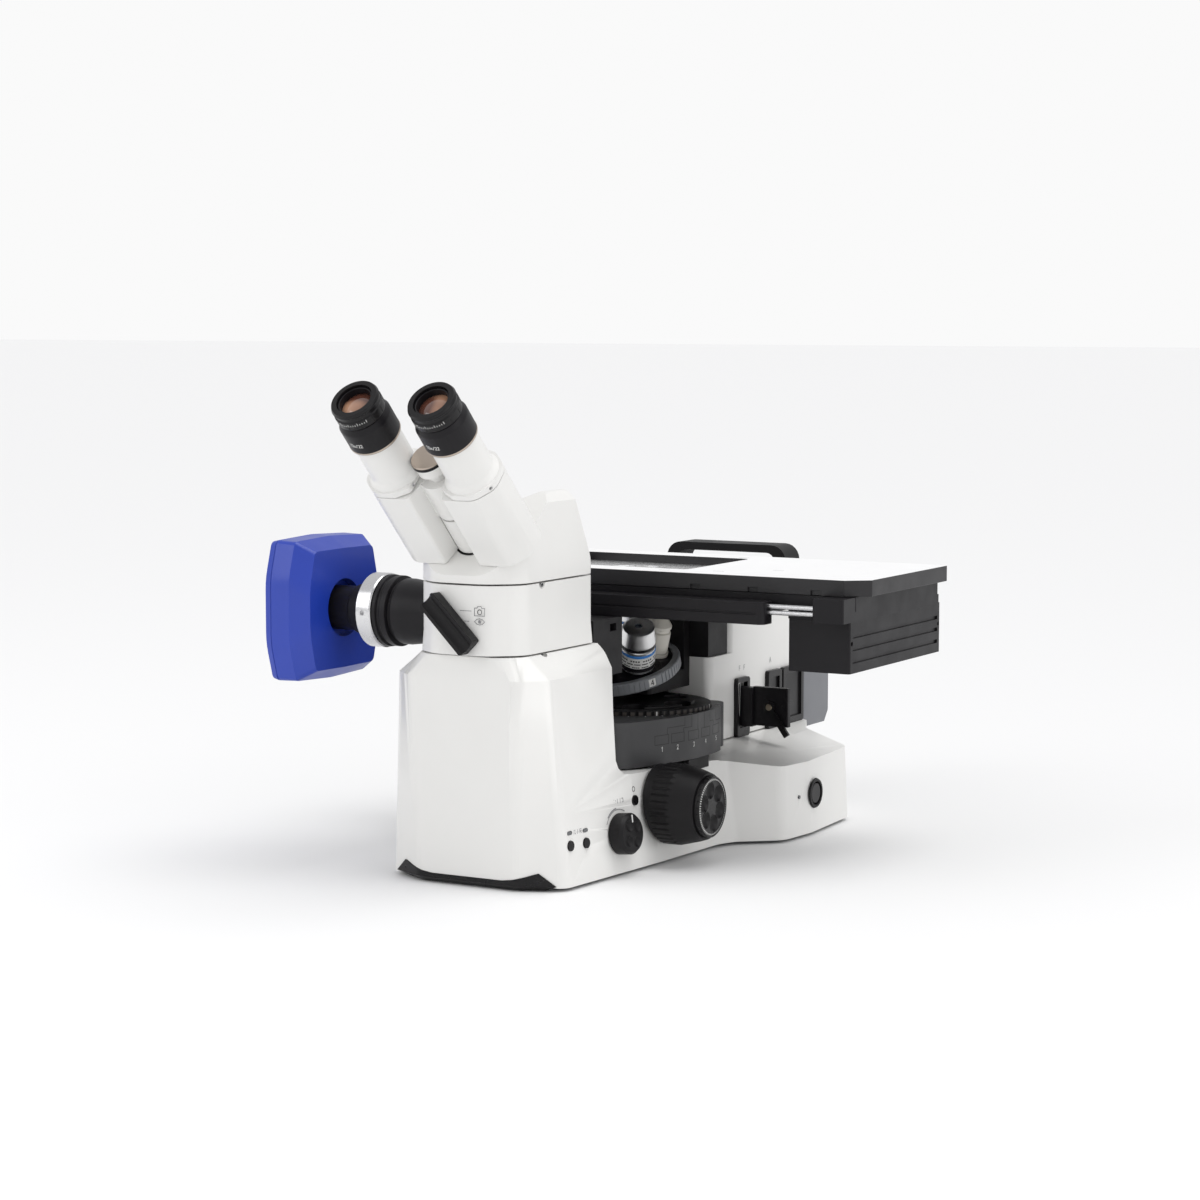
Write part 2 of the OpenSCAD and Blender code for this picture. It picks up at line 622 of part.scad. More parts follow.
module aperture_lever() color("dimgray") translate([column_half + 31, 89.7, 102]) rotate([90, 0, 0]) union() {
    translate([0, 0, -6]) cylinder(r = 3, h = 6);
    difference() {
        cylinder(r = 5, h = 3);
        translate([0, 0, 1.5]) cube([7, 1, 4], center = true);
    }
    rotate([0, 0, -55]) translate([3, -2.5, 0]) cube([27, 5, 3]);
}

module rear_housing() color("slategray") difference() {
    across(2 * column_half + 4, [[column_rear, 66], [column_rear + rear_housing_d - 8, 66],
        [column_rear + rear_housing_d, 76], [column_rear + rear_housing_d, 184],
        [column_rear + rear_housing_d - 8, 192], [column_rear, 192]]);
    across(2 * column_half - 6, [[column_rear + 5, 72], [column_rear + rear_housing_d - 6, 72],
        [column_rear + rear_housing_d - 6, 186], [column_rear + 5, 186]]);
    translate([0, column_rear, slide_z]) rotate([90, 0, 0]) cylinder(r = 24, h = 20, center = true);
    for (z = [96:9:168]) translate([0, column_rear + rear_housing_d, z]) cube([76, 20, 4], center = true);
}

module carry_handle() color("black") {
    y0 = 170;
    along(y0, y0 + 29, rounded([[-54, column_h, 0], [-46, column_h, 0],
        [-handle_half + handle_t + 2, column_h + 12, 6],
        [-handle_half + handle_t + 4, handle_h - handle_t + 1, 8],
        [handle_half - handle_t - 4, handle_h - handle_t + 1, 8],
        [handle_half - handle_t - 2, column_h + 12, 6], [46, column_h, 0], [54, column_h, 0],
        [handle_half, column_h + 14, 5], [handle_half, handle_h, 14],
        [-handle_half, handle_h, 14], [-handle_half, column_h + 14, 5]], 6));
}

// The bracket that carries the front of the stage behind the head
module stage_bracket() color("black") difference() {
    union() {
        plate(-42, 42, -tower_rear + 4, -98, 158, stage_z - 158, 0);
        plate(-42, 42, -132, -98, 150, 10, 0);
    }
    plate(-30, 30, -160, -80, 165, 22);
    plate(34, 44, -118, -108, 186, 6);
}

// The block under the rear of the stage, with the rail that the nosepiece slides on
module stage_rear_block() color("black") {
    plate(-column_half + 2, column_half - 2, column_front, column_front + 36, 149, stage_z - 149);
    plate(-14, 14, column_front - 6, column_front, 112, stage_z - 112);
}

module stage_base() color("black") difference() {
    plate(-140, 138, -stage_half_d, 85, stage_z, stage_base_t, 4);
    plate(-62, 62, -60, 60, stage_z - 1, stage_base_t + 2, 12);
}

// The fixed bar along the stage's front, which the guide rods run through
module front_bar() color("black") difference() {
    union() {
        plate(-175, 175, -bar_front, -bar_rear, stage_z, 18, 6);
        plate(-132, 130, -bar_rear - 1, -stage_half_d, stage_z, stage_base_t);
    }
    plate(-170, 168, -bar_front - 1, -bar_front + 1, stage_z + 8, 1.4);
    for (z = [206.6, 211.4]) translate([0, -rod_y, z]) to_right() cylinder(r = rod_r + run, h = 500, center = true);
}

module guide_rods() color("silver") for (z = [206.6, 211.4])
    translate([-80, -rod_y, z]) to_right() cylinder(r = rod_r, h = 306);

module middle_plate() color("black") difference() {
    union() {
        plate(-150, plate_right, -stage_half_d + 1, stage_half_d, plate_z, mid_plate_t, 3);
        plate(217, plate_right, -bar_front + 1, -stage_half_d + 3, 201, plate_z + mid_plate_t - 201, 2);
        plate(drive_x, plate_right, -stage_half_d + 1, stage_half_d, 201, 8);
    }
    plate(-128, 100, -70, 70, plate_z - 1, mid_plate_t + 2, 10);
    for (z = [206.6, 211.4]) translate([0, -rod_y, z]) to_right() cylinder(r = rod_r, h = 226);
}

// The box of the stage's drive, with three long grooves in its outer face
module drive_box() color("black") difference() {
    plate(drive_x, drive_x + drive_w, -stage_half_d + 1, stage_half_d + 13, 201 - drive_h + 8, drive_h - 8.2, 2);
    for (z = [167:10:187]) plate(drive_x + drive_w - 1.5, drive_x + drive_w + 2, -78, 92, z, 3);
    plate(drive_x + 4, drive_x + drive_w - 5, -stage_half_d + 5, stage_half_d + 9, 201 - drive_h + 12, drive_h - 16);
    for (y = [-80, 94]) translate([drive_x + drive_w, y, 183]) to_right() cylinder(r = 1.8, h = 6, center = true);
}

module top_plate() color("gainsboro") difference() {
    translate([0, 0, top_z]) linear_extrude(top_plate_t) polygon([[-top_left, -stage_half_d + 8],
        [-top_left + 8, -stage_half_d], [top_right - 18, -stage_half_d], [top_right, -stage_half_d + 14],
        [top_right, stage_half_d - 4], [top_right - 4, stage_half_d], [-top_left + 8, stage_half_d],
        [-top_left, stage_half_d - 8]]);
    plate(-opening_w / 2, opening_w / 2, -opening_d / 2, opening_d / 2, top_z + 3, top_plate_t, 5);
    plate(-opening_w / 2 + 5, opening_w / 2 - 5, -opening_d / 2 + 5, opening_d / 2 - 5, top_z - 1, 10, 5);
    for (x = [98, 150, 206]) plate(x, x + 9, -stage_half_d - 1, -stage_half_d + 2, top_z - 1, 5);
}

module specimen_insert() color("lightgray") difference() {
    plate(-opening_w / 2 + free, opening_w / 2 - free, -opening_d / 2 + free, opening_d / 2 - free,
        top_z + 3, 3, 4.6);
    translate([0, 0, top_z]) cylinder(r = insert_hole_r, h = 10);
    translate([0, 0, top_z + 4.5]) cylinder(r = insert_hole_r + 14, h = 10);
}

// Moves to the turret's centre at seat height, with +Z along its axis
module at_turret() {
    translate([0, 0, apex_z]) rotate([turret_tilt, 0, 0]) translate([0, 0, turret_l * cos(turret_tilt)]) children();
}

// Moves to an objective's seat at an angle round the turret, with +Z to its tip
module at_seat(a) {
    translate([0, 0, apex_z]) rotate([turret_tilt, 0, 0]) rotate([0, 0, a])
        rotate([-turret_tilt, 0, 0]) translate([0, 0, turret_l]) children();
}

module nosepiece_carrier() color("dimgray") difference() {
    union() {
        at_turret() translate([0, 0, -turret_t - 9]) cylinder(r = 22, h = 8.7);
        plate(-34, 34, -36, column_front - free, 124, 15, 4);
        plate(-34, 34, 25.5, column_front - free, 124, 58);
    }
    plate(-14 - run, 14 + run, column_front - 6 - run, column_front + 1, 100, 100);
    at_turret() translate([0, 0, -turret_t - 40]) cylinder(r = 8 + run, h = 60);
    cylinder(r = 16, h = 160);
    at_turret() translate([0, 0, -turret_t - free]) cylinder(r = turret_r + 1.5, h = 60);
}

module turret_disc() color("black") difference() {
    at_turret() translate([0, 0, -turret_t]) turned([[0, -9], [8, -9], [8, 0],
        [turret_r - 6, 0], [turret_r - 6, turret_t - 3], [turret_r - 10, turret_t - 1], [10, turret_t + 6],
        [0, turret_t + 6]]);
    for (i = [0:positions - 1]) at_seat(i * 360 / positions) {
        cylinder(r = 20, h = 40);
        translate([0, 0, -60]) cylinder(r = 11, h = 70);
    }
}

module turret_ring() color("silver") at_turret() translate([0, 0, -turret_t + 0.5]) difference() {
    turned([[turret_r - 6, 0], [turret_r - 1, 0], [turret_r, 1], [turret_r, 9], [turret_r - 1, 10],
        [turret_r - 6, 10]]);
    for (i = [0:positions - 1]) rotate([0, 0, 60 * i + 30]) translate([turret_r, 0, 5])
        cube([tick * 2, 7, 7], center = true);
    for (i = [0:71]) if (i % 12 < 9) rotate([0, 0, 5 * i + 41]) translate([turret_r, 0, 5])
        cube([tick * 2, 1.4, 12], center = true);
}

module objective(r, r_tip, l) turned([[0, 0.2], [12, 0.2], [12, 3], [r - 1, 3], [r, 4], [r, l * 0.56],
    [r - 1, l * 0.58], [r - 1, l * 0.64], [r, l * 0.66], [r, l * 0.72], [r_tip + 2, l - 4], [r_tip + 2, l - 1],
    [r_tip, l], [3, l], [3, l - 1], [0, l - 1]]);

module objectives() color("linen") {
    at_seat(0) objective(12, 5, objective_l);
    at_seat(300) objective(11, 4, objective_l - 6);
    at_seat(240) objective(14.5, 11, objective_l);
}

module turret_plugs() color("black") for (a = [60, 120, 180])
    at_seat(a) turned([[0, 0.2], [13, 0.2], [13, 4], [12, 5], [0, 5]]);

module reflector_module() color("dimgray") difference() {
    union() {
        translate([0, 0, deck_h + 0.5]) linear_extrude(module_h - deck_h - 0.5) polygon(rounded([
            [-74, -143, 10], [62, -143, 24], [79, -97, 80], [88, -60, 80], [88, -22, 60], [84, 1, 8],
            [-74, 1, 10]], 5));
        plate(-44, 76, -20, 26, deck_h + 0.5, module_h - deck_h - 0.5, 10);
    }
    translate([wheel_x, -wheel_y, deck_h + 6]) cylinder(r = wheel_r - 9, h = 60);
    translate([wheel_x, -wheel_y, module_h - 1.5]) cylinder(r = wheel_r + 0.5, h = 60);
    cylinder(r = 20, h = 120);
}

module reflector_wheel() color("black") translate([wheel_x, -wheel_y, 0]) difference() {
    union() {
        translate([0, 0, module_h - 1.3]) cylinder(r = wheel_r, h = wheel_t);
        translate([0, 0, module_h + wheel_t - 1.3]) cylinder(r = wheel_r - 14, h = 1.5);
        translate([0, 0, deck_h + 6.3]) cylinder(r = wheel_r - 9 - free, h = module_h - deck_h - 7);
    }
    for (i = [0:59]) rotate([0, 0, 6 * i]) translate([wheel_r, 0, module_h - 2])
        cylinder(r = 1, h = wheel_t + 2, $fn = 4);
    for (i = [0:positions - 1]) rotate([0, 0, atan2(wheel_y, -wheel_x) + 60 * i])
        translate([norm([wheel_x, wheel_y]), 0, 0]) cylinder(r = 11, h = 160);
}

// Moves to the focus shaft's axis, with +Z to the right
module at_focus(x) {
    translate([x, -focus_y, focus_z]) to_right() children();
}

module focus_collars() color("black") pair() difference() {
    at_focus(74) cylinder(r = 31.5, h = 18);
    at_focus(70) cylinder(r = coarse_shaft_r + run, h = 60);
    on_side(-focus_y, focus_z) translate([-100, -100, -60]) cube([200, 200, 62.8]);
}

// Both coarse knobs on their hollow shaft
module coarse_drive() color("black") difference() {
    union() {
        at_focus(-93) cylinder(r = coarse_shaft_r, h = 186);
        pair() at_focus(92.3) difference() {
            turned([[0, 0], [coarse_r, 0], [coarse_r, 14], [fine_r + 4, 30], [fine_r + 2, 36], [0, 36]]);
            for (a = [0:10:350]) rotate([0, 0, a]) translate([coarse_r + 0.6, 0, -1]) cylinder(r = 1.6, h = 24, $fn = 6);
        }
    }
    at_focus(-140) cylinder(r = fine_shaft_r + run, h = 280);
    pair() at_focus(knob_reach - 14) cylinder(r = fine_r + free, h = 30);
}

// Both fine knobs on the shaft inside the coarse one
module fine_drive() color("dimgray") union() {
    at_focus(-knob_reach + 6) cylinder(r = fine_shaft_r, h = 2 * knob_reach - 12);
    pair() at_focus(knob_reach - 13.5) difference() {
        turned([[0, 0], [fine_r, 0], [fine_r, 12.5], [fine_r - 1, 13.5], [fine_r - 4, 12.5], [0, 12.5]]);
        for (a = [0:60:300]) rotate([0, 0, a + 12]) translate([14, 0, 18]) sphere(r = 9);
        for (a = [0:12:348]) rotate([0, 0, a]) translate([fine_r, 0, 11]) cylinder(r = 0.7, h = 6, $fn = 4);
    }
}

module light_knob() color("black") on_side(-light_knob_y, light_knob_z) union() {
    translate([0, 0, -12]) cylinder(r = 5, h = 13);
    difference() {
        translate([0, 0, 0.4]) turned([[0, 0], [light_knob_r, 0], [light_knob_r, 10], [light_knob_r - 2, 12.5],
            [0, 13.5]]);
        for (a = [35:90:305]) rotate([0, 0, a]) translate([8.5, 0, 17]) sphere(r = 6);
    }
}

module push_button(p) on_side(p[0], p[1]) {
    translate([0, 0, -6]) cylinder(r = button_r + 2, h = 2);
    translate([0, 0, -5]) cylinder(r = button_r, h = 6.2);
}

module lamp_button() color("black") push_button(button_places[0]);
module view_button() color("black") push_button(button_places[1]);
module snap_button() color("black") push_button(button_places[2]);

module power_rocker() color("black") translate([rear_half, switch_y, switch_z]) to_right() union() {
    difference() {
        turned([[0, -8], [switch_r - 4.6, -8], [switch_r - 4.6, 2], [0, 2]]);
        translate([0, 14, 7]) rotate([-14, 0, 0]) cube([40, 30, 10], center = true);
    }
    translate([0, 0, -3.5]) rotate([0, 90, 0]) cylinder(r = 1.5, h = 2 * switch_r - 6.6, center = true);
}

module status_lights() color("limegreen") {
    for (p = light_places) on_side(p[0], p[1]) translate([0, 0, -1.3]) light_oval(0, 1.7);
    translate([rear_half - 3, 41, switch_z]) to_right() cylinder(r = 1.5, h = 2.6);
}

// A long oval that lies along the side wall
module light_oval(grow, h, n = fine_fn) {
    linear_extrude(h) hull() for (y = [-2, 2]) translate([0, y]) circle(r = 1.3 + grow, $fn = n);
}

// The power supply and its board on the base plate, in the rear of the stand
module power_unit() color("darkseagreen") {
    plate(20, 108, 62, 128, base_plate_t, 34);
    plate(-100, -16, 66, 150, base_plate_t + 6, 1.6);
    for (p = [[-94, 72], [-22, 72], [-94, 144], [-22, 144]])
        translate([p[0], p[1], base_plate_t]) cylinder(r = 3, h = 6);
    for (x = [-86:16:-38]) plate(x, x + 10, 80, 92, base_plate_t + 7.6, 12);
}

// The lamp in the rear housing with the tube that leads its light through the column
module lamp_unit() color("gray") translate([0, 0, slide_z]) rotate([-90, 0, 0]) {
    difference() {
        turned([[0, 104], [22, 104], [22, column_rear + 5.6], [26, column_rear + 6.6],
            [26, column_rear + 40], [0, column_rear + 40]]);
        cylinder(r = 17, h = column_rear + 24);
    }
    translate([0, 0, column_rear + 40]) cylinder(r = 28, h = 3);
    for (x = [-18:6:18]) translate([x, 0, column_rear + 45]) cube([2, 38, 6], center = true);
}

module socket_field() translate([0, column_rear, 42]) difference() {
    plate(-45.5, 45.5, -8, 0.5, -19.5, 39);
    translate([-24, 0, 0]) cube([28, 12, 21], center = true);
    for (x = [4, 18, 32]) translate([x, 0, 8]) cube([10, 12, 6], center = true);
    for (x = [4, 18, 32]) translate([x, 0, -8]) rotate([90, 0, 0]) cylinder(r = 3.5, h = 12, center = true);
}

module rear_sockets() color("dimgray") {
    socket_field();
    switch_bezel();
}

// The round bezel that the power switch rocks in
module switch_bezel() color("black") translate([rear_half, switch_y, switch_z]) to_right() difference() {
    turned([[0, -6], [switch_r - 2.4, -6], [switch_r - 2.4, 1.1], [switch_r, 1.1], [switch_r - 0.8, 2.6], [0, 2.6]]);
    translate([0, 0, -7]) cylinder(r = switch_r - 2.9, h = 12);
}

stand_cover();
base_plate();
rubber_feet();
front_toe();
tower_back();
light_path_piece();
tube_head();
selector();
clamp_screws();
light_train();
port_adapter();
clamp_ring();
camera_neck();
camera_body();
hinge_post();
hinge_cap();
left_prism();
right_prism();
left_tube();
right_tube();
left_eyepiece();
right_eyepiece();
left_lens();
right_lens();
left_diopter();
right_diopter();
column_cover();
rear_housing();
carry_handle();
slide_frames();
aperture_slide();
aperture_lever();
stage_bracket();
stage_rear_block();
stage_base();
front_bar();
middle_plate();
drive_box();
guide_rods();
top_plate();
specimen_insert();
nosepiece_carrier();
turret_disc();
turret_ring();
objectives();
turret_plugs();
reflector_module();
reflector_wheel();
focus_collars();
coarse_drive();
fine_drive();
light_knob();
lamp_button();
view_button();
snap_button();
power_rocker();
rear_sockets();
status_lights();
power_unit();
lamp_unit();
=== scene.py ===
"""Looks for the inverted microscope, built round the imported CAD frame. Metres, +Z up."""
import bpy
import bmesh
import math
from mathutils import Vector, Matrix


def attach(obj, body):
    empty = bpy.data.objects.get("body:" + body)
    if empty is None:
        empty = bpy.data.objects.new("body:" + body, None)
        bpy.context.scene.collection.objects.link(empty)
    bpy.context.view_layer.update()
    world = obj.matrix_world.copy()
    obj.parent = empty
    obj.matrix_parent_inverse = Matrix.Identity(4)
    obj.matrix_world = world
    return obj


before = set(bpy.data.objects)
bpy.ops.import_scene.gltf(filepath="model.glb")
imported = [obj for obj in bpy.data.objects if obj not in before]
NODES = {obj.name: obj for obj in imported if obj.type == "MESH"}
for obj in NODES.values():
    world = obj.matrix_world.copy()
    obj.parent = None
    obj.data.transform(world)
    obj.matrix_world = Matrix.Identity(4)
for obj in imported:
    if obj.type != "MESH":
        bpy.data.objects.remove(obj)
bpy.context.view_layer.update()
S45 = math.sqrt(0.5)
MM = 0.001
RIGHT, REAR, UP = Vector((1, 0, 0)), Vector((0, 1, 0)), Vector((0, 0, 1))
TO_FRONT = Vector((0, -1, 0))
PRINT_SINK, PRINT_LIFT = 0.00002, 0.00006

# Places that the CAD source gives, in millimetres
TURRET_TILT, SEAT_R, SEAT_Z, GRIP_RING_R = 18, 30, 161, 51.5
WHEEL_X, WHEEL_Y, WHEEL_Z = 20, -36, 115.4
FOCUS_Y, FOCUS_Z, FINE_R, KNOB_FACE = -111, 48, 25, 132.6
LIGHT_KNOB = (-176, 32)
STAGE_TOP = 0.2336
FIELD_Y = (-97, -78.5, -58, -37.5, -17)
# The stand's right wall: half widths at foot and top, the foot's spread and the run it takes
WALL_FOOT_X, WALL_TOP_X, WALL_TOP_Z = 80, 69, 163
WALL_FRONT_Y, WALL_SPREAD, WALL_RUN = -255, 11, 132

# Studio
FLOOR_Z, FLOOR_HALF, FLOOR_TONE = -0.0021, 30, 0.855
CAMERA_LENS = 87.0 * 0.995 * 1.013
CAMERA_AT, CAMERA_PITCH = (1.1986, -2.1795, 0.448), 5.71


# Materials
def nodes_of(name):
    """A new material, its node tree and its surface node."""
    m = bpy.data.materials.new(name)
    m.use_nodes = True
    nt = m.node_tree
    return m, nt, nt.nodes["Principled BSDF"]


def link(nt, a, b):
    nt.links.new(a, b)


def ramp(nt, fac, stops):
    """Colours between stops of (position, colour), driven by a factor."""
    r = nt.nodes.new("ShaderNodeValToRGB")
    while len(r.color_ramp.elements) < len(stops):
        r.color_ramp.elements.new(0.5)
    for e, (p, c) in zip(r.color_ramp.elements, stops):
        e.position = p
        e.color = c if len(c) == 4 else (*c, 1)
    link(nt, fac, r.inputs["Fac"])
    return r.outputs["Color"]


def noise(nt, scale, detail=3.0):
    c = nt.nodes.new("ShaderNodeTexCoord")
    n = nt.nodes.new("ShaderNodeTexNoise")
    n.inputs["Scale"].default_value = scale
    n.inputs["Detail"].default_value = detail
    n.inputs["Roughness"].default_value = 0.5
    link(nt, c.outputs["Object"], n.inputs["Vector"])
    return n.outputs["Fac"]


def bump(nt, bsdf, height, strength, distance):
    b = nt.nodes.new("ShaderNodeBump")
    b.inputs["Strength"].default_value = strength
    b.inputs["Distance"].default_value = distance
    link(nt, height, b.inputs["Height"])
    link(nt, b.outputs["Normal"], bsdf.inputs["Normal"])


def painted(name, color, rough=0.4, grain=900, grain_h=0.00006, vary=0.03, coat=0.0, spec=0.5):
    """Enamel or powder coat: broad tone drift, fine peel in the surface, uneven gloss."""
    m, nt, b = nodes_of(name)
    dark = tuple(c * (1 - vary) for c in color)
    lite = tuple(min(1, c * (1 + vary)) for c in color)
    link(nt, ramp(nt, noise(nt, 14, 4), [(0.3, dark), (0.7, lite)]), b.inputs["Base Color"])
    lo, hi = rough - 0.05, rough + 0.05
    link(nt, ramp(nt, noise(nt, 45, 3), [(0.3, (lo,) * 3), (0.7, (hi,) * 3)]), b.inputs["Roughness"])
    bump(nt, b, noise(nt, grain, 2), 0.35, grain_h)
    b.inputs["Coat Weight"].default_value = coat
    b.inputs["Coat Roughness"].default_value = 0.12
    b.inputs["Specular IOR Level"].default_value = spec
    return m


def metal(name, color, rough=0.25, brushed=None, scale=700):
    """Machined metal; brushed names the axis that the tool marks run round or along."""
    m, nt, b = nodes_of(name)
    b.inputs["Metallic"].default_value = 1.0
    c = nt.nodes.new("ShaderNodeTexCoord")
    mp = nt.nodes.new("ShaderNodeMapping")
    mp.inputs["Scale"].default_value = brushed or (1, 1, 1)
    n = nt.nodes.new("ShaderNodeTexNoise")
    n.inputs["Scale"].default_value = scale
    n.inputs["Detail"].default_value = 4
    link(nt, c.outputs["Object"], mp.inputs["Vector"])
    link(nt, mp.outputs["Vector"], n.inputs["Vector"])
    f = n.outputs["Fac"]
    link(nt, ramp(nt, f, [(0.3, tuple(v * 0.86 for v in color)), (0.7, color)]), b.inputs["Base Color"])
    link(nt, ramp(nt, f, [(0.3, (rough - 0.07,) * 3), (0.7, (rough + 0.09,) * 3)]), b.inputs["Roughness"])
    bump(nt, b, f, 0.2, 0.00004)
    return m


def turned(name, color, rough, axis, pitch=900):
    """Metal turned on a lathe: fine rings along the axis."""
    m, nt, b = nodes_of(name)
    b.inputs["Metallic"].default_value = 1.0
    c = nt.nodes.new("ShaderNodeTexCoord")
    w = nt.nodes.new("ShaderNodeTexWave")
    w.wave_type = "BANDS"
    w.bands_direction = axis
    w.inputs["Scale"].default_value = pitch
    w.inputs["Distortion"].default_value = 0.8
    link(nt, c.outputs["Object"], w.inputs["Vector"])
    f = w.outputs["Fac"]
    link(nt, ramp(nt, f, [(0.0, tuple(v * 0.82 for v in color)), (1.0, color)]), b.inputs["Base Color"])
    link(nt, ramp(nt, noise(nt, 120), [(0.3, (rough - 0.05,) * 3), (0.7, (rough + 0.06,) * 3)]),
         b.inputs["Roughness"])
    bump(nt, b, f, 0.15, 0.00003)
    return m


def print_ink(name, color):
    """Matt ink with a slight unevenness."""
    m, nt, b = nodes_of(name)
    link(nt, ramp(nt, noise(nt, 500, 2), [(0.3, tuple(c * 0.9 for c in color)), (0.7, color)]),
         b.inputs["Base Color"])
    b.inputs["Roughness"].default_value = 0.55
    return m


def glass(name, color, rough=0.02, coat=(0.8, 0.5, 0.35), scale=30):
    """Coated glass over a dark barrel: a soft pale patch, a painted reflection in the coat colour, drifts
    into the dark tint.
    """
    m, nt, b = nodes_of(name)
    link(nt, ramp(nt, noise(nt, scale, 1), [(0.38, color), (0.62, coat)]), b.inputs["Base Color"])
    b.inputs["Roughness"].default_value = rough
    b.inputs["IOR"].default_value = 1.5
    b.inputs["Coat Weight"].default_value = 1.0
    b.inputs["Coat Roughness"].default_value = 0.02
    return m


def painted_top_sheen(name, side, face, height):
    """Black plate whose upper face, above the given height, is painted pale and satin: a painted sheen for
    the light the top catches.
    """
    m = painted(name, side, 0.42, 1400, 0.00004, 0.1)
    nt = m.node_tree
    b = nt.nodes["Principled BSDF"]
    geo = nt.nodes.new("ShaderNodeNewGeometry")
    up = nt.nodes.new("ShaderNodeSeparateXYZ")
    link(nt, geo.outputs["Normal"], up.inputs["Vector"])
    pos = nt.nodes.new("ShaderNodeTexCoord")
    at = nt.nodes.new("ShaderNodeSeparateXYZ")
    link(nt, pos.outputs["Object"], at.inputs["Vector"])
    facing = nt.nodes.new("ShaderNodeMath")
    facing.operation = "GREATER_THAN"
    facing.inputs[1].default_value = 0.95
    link(nt, up.outputs["Z"], facing.inputs[0])
    high = nt.nodes.new("ShaderNodeMath")
    high.operation = "GREATER_THAN"
    high.inputs[1].default_value = height
    link(nt, at.outputs["Z"], high.inputs[0])
    sheen_mask = nt.nodes.new("ShaderNodeMath")
    sheen_mask.operation = "MULTIPLY"
    link(nt, facing.outputs[0], sheen_mask.inputs[0])
    link(nt, high.outputs[0], sheen_mask.inputs[1])
    old = b.inputs["Base Color"].links[0].from_socket
    mix = nt.nodes.new("ShaderNodeMix")
    mix.data_type = "RGBA"
    link(nt, sheen_mask.outputs[0], mix.inputs["Factor"])
    link(nt, old, mix.inputs["A"])
    mix.inputs["B"].default_value = (*face, 1)
    link(nt, mix.outputs["Result"], b.inputs["Base Color"])
    return m


WHITE = painted("white_enamel", (0.80, 0.795, 0.775), 0.36, 700, 0.00005, 0.012, 0.12)
BLACK = painted("black_anodised", (0.0072, 0.0064, 0.0080), 0.40, 1400, 0.00005, 0.12, spec=0.24)
# Stage plate: black sides, with a painted pale sheen on the upward face of its top
STAGE_PAINTED_SHEEN = painted_top_sheen("stage_top_plate_painted_sheen", (0.0078, 0.0070, 0.0086), (0.92, 0.92, 0.92), 0.2333)
BLACK_CAST = painted("black_powder_coat", (0.0086, 0.0080, 0.0090), 0.5, 420, 0.00016, 0.14, spec=0.25)
# Reflector module: the black powder coat painted lighter grey, a painted lit tone for the light shining on it
MODULE_PAINTED_LIT = painted("module_coat_painted_lit", (0.034, 0.034, 0.036), 0.45, 420, 0.00016, 0.12)
BLACK_PLASTIC = painted("black_grained_plastic", (0.0072, 0.0066, 0.0074), 0.46, 800, 0.00012, 0.1, spec=0.24)
BLACK_SHINY = painted("black_moulded_plastic", (0.0066, 0.0061, 0.0068), 0.3, 900, 0.00003, 0.1, spec=0.27)
RUBBER = painted("rubber", (0.017, 0.017, 0.017), 0.75, 500, 0.0002, 0.15)
BLUE = painted("blue_enamel", (0.012, 0.045, 0.40), 0.38, 900, 0.00006, 0.05, 0.15)
GREY = painted("grey_enamel", (0.17, 0.175, 0.19), 0.42, 600, 0.0001, 0.04)
GREY_PLATE = metal("grey_plate", (0.42, 0.43, 0.45), 0.42)
SILVER_X = turned("turned_silver_x", (0.76, 0.76, 0.77), 0.24, "X")
STEEL = metal("steel", (0.62, 0.62, 0.63), 0.24, (1, 12, 12), 300)
CHROME = turned("satin_chrome", (0.86, 0.86, 0.86), 0.34, "Z", 700)
CREAM = painted("cream_enamel", (0.70, 0.67, 0.60), 0.32, 900, 0.00004, 0.02, 0.2)
RING_GREY = painted("grey_grip_ring", (0.23, 0.24, 0.255), 0.4, 900, 0.00006, 0.05)
INK_WHITE = print_ink("white_print", (0.72, 0.72, 0.70))
INK_BLACK = print_ink("black_print", (0.03, 0.03, 0.032))
INK_GREY = print_ink("grey_print", (0.25, 0.25, 0.26))
INK_BLUE = print_ink("blue_ring", (0.04, 0.22, 0.62))
GROOVE = print_ink("groove_shadow", (0.006, 0.006, 0.006))
RIM_BROWN = painted("wheel_rim", (0.050, 0.042, 0.036), 0.55, 900, 0.00005, 0.2)
TAN = metal("tan_screw", (0.42, 0.36, 0.28), 0.35)
CAP_BEIGE = turned("beige_cap", (0.55, 0.47, 0.40), 0.34, "X", 500)
# Lens and prism glass: each carries a painted pale reflection patch in its base colour
LENS = glass("eye_lens_glass", (0.10, 0.035, 0.022), 0.03, (0.75, 0.42, 0.26))
PRISM = glass("prism_glass", (0.35, 0.40, 0.44), 0.03, (0.6, 0.65, 0.7))
LED_GREEN = painted("light_window", (0.05, 0.055, 0.06), 0.15, 900, 0.00001, 0.1, 1.0)
INSERT = metal("insert_aluminium", (0.72, 0.72, 0.72), 0.3)
FRONT_GLASS = glass("front_lens_glass", (0.02, 0.03, 0.05), 0.02, (0.25, 0.2, 0.45))

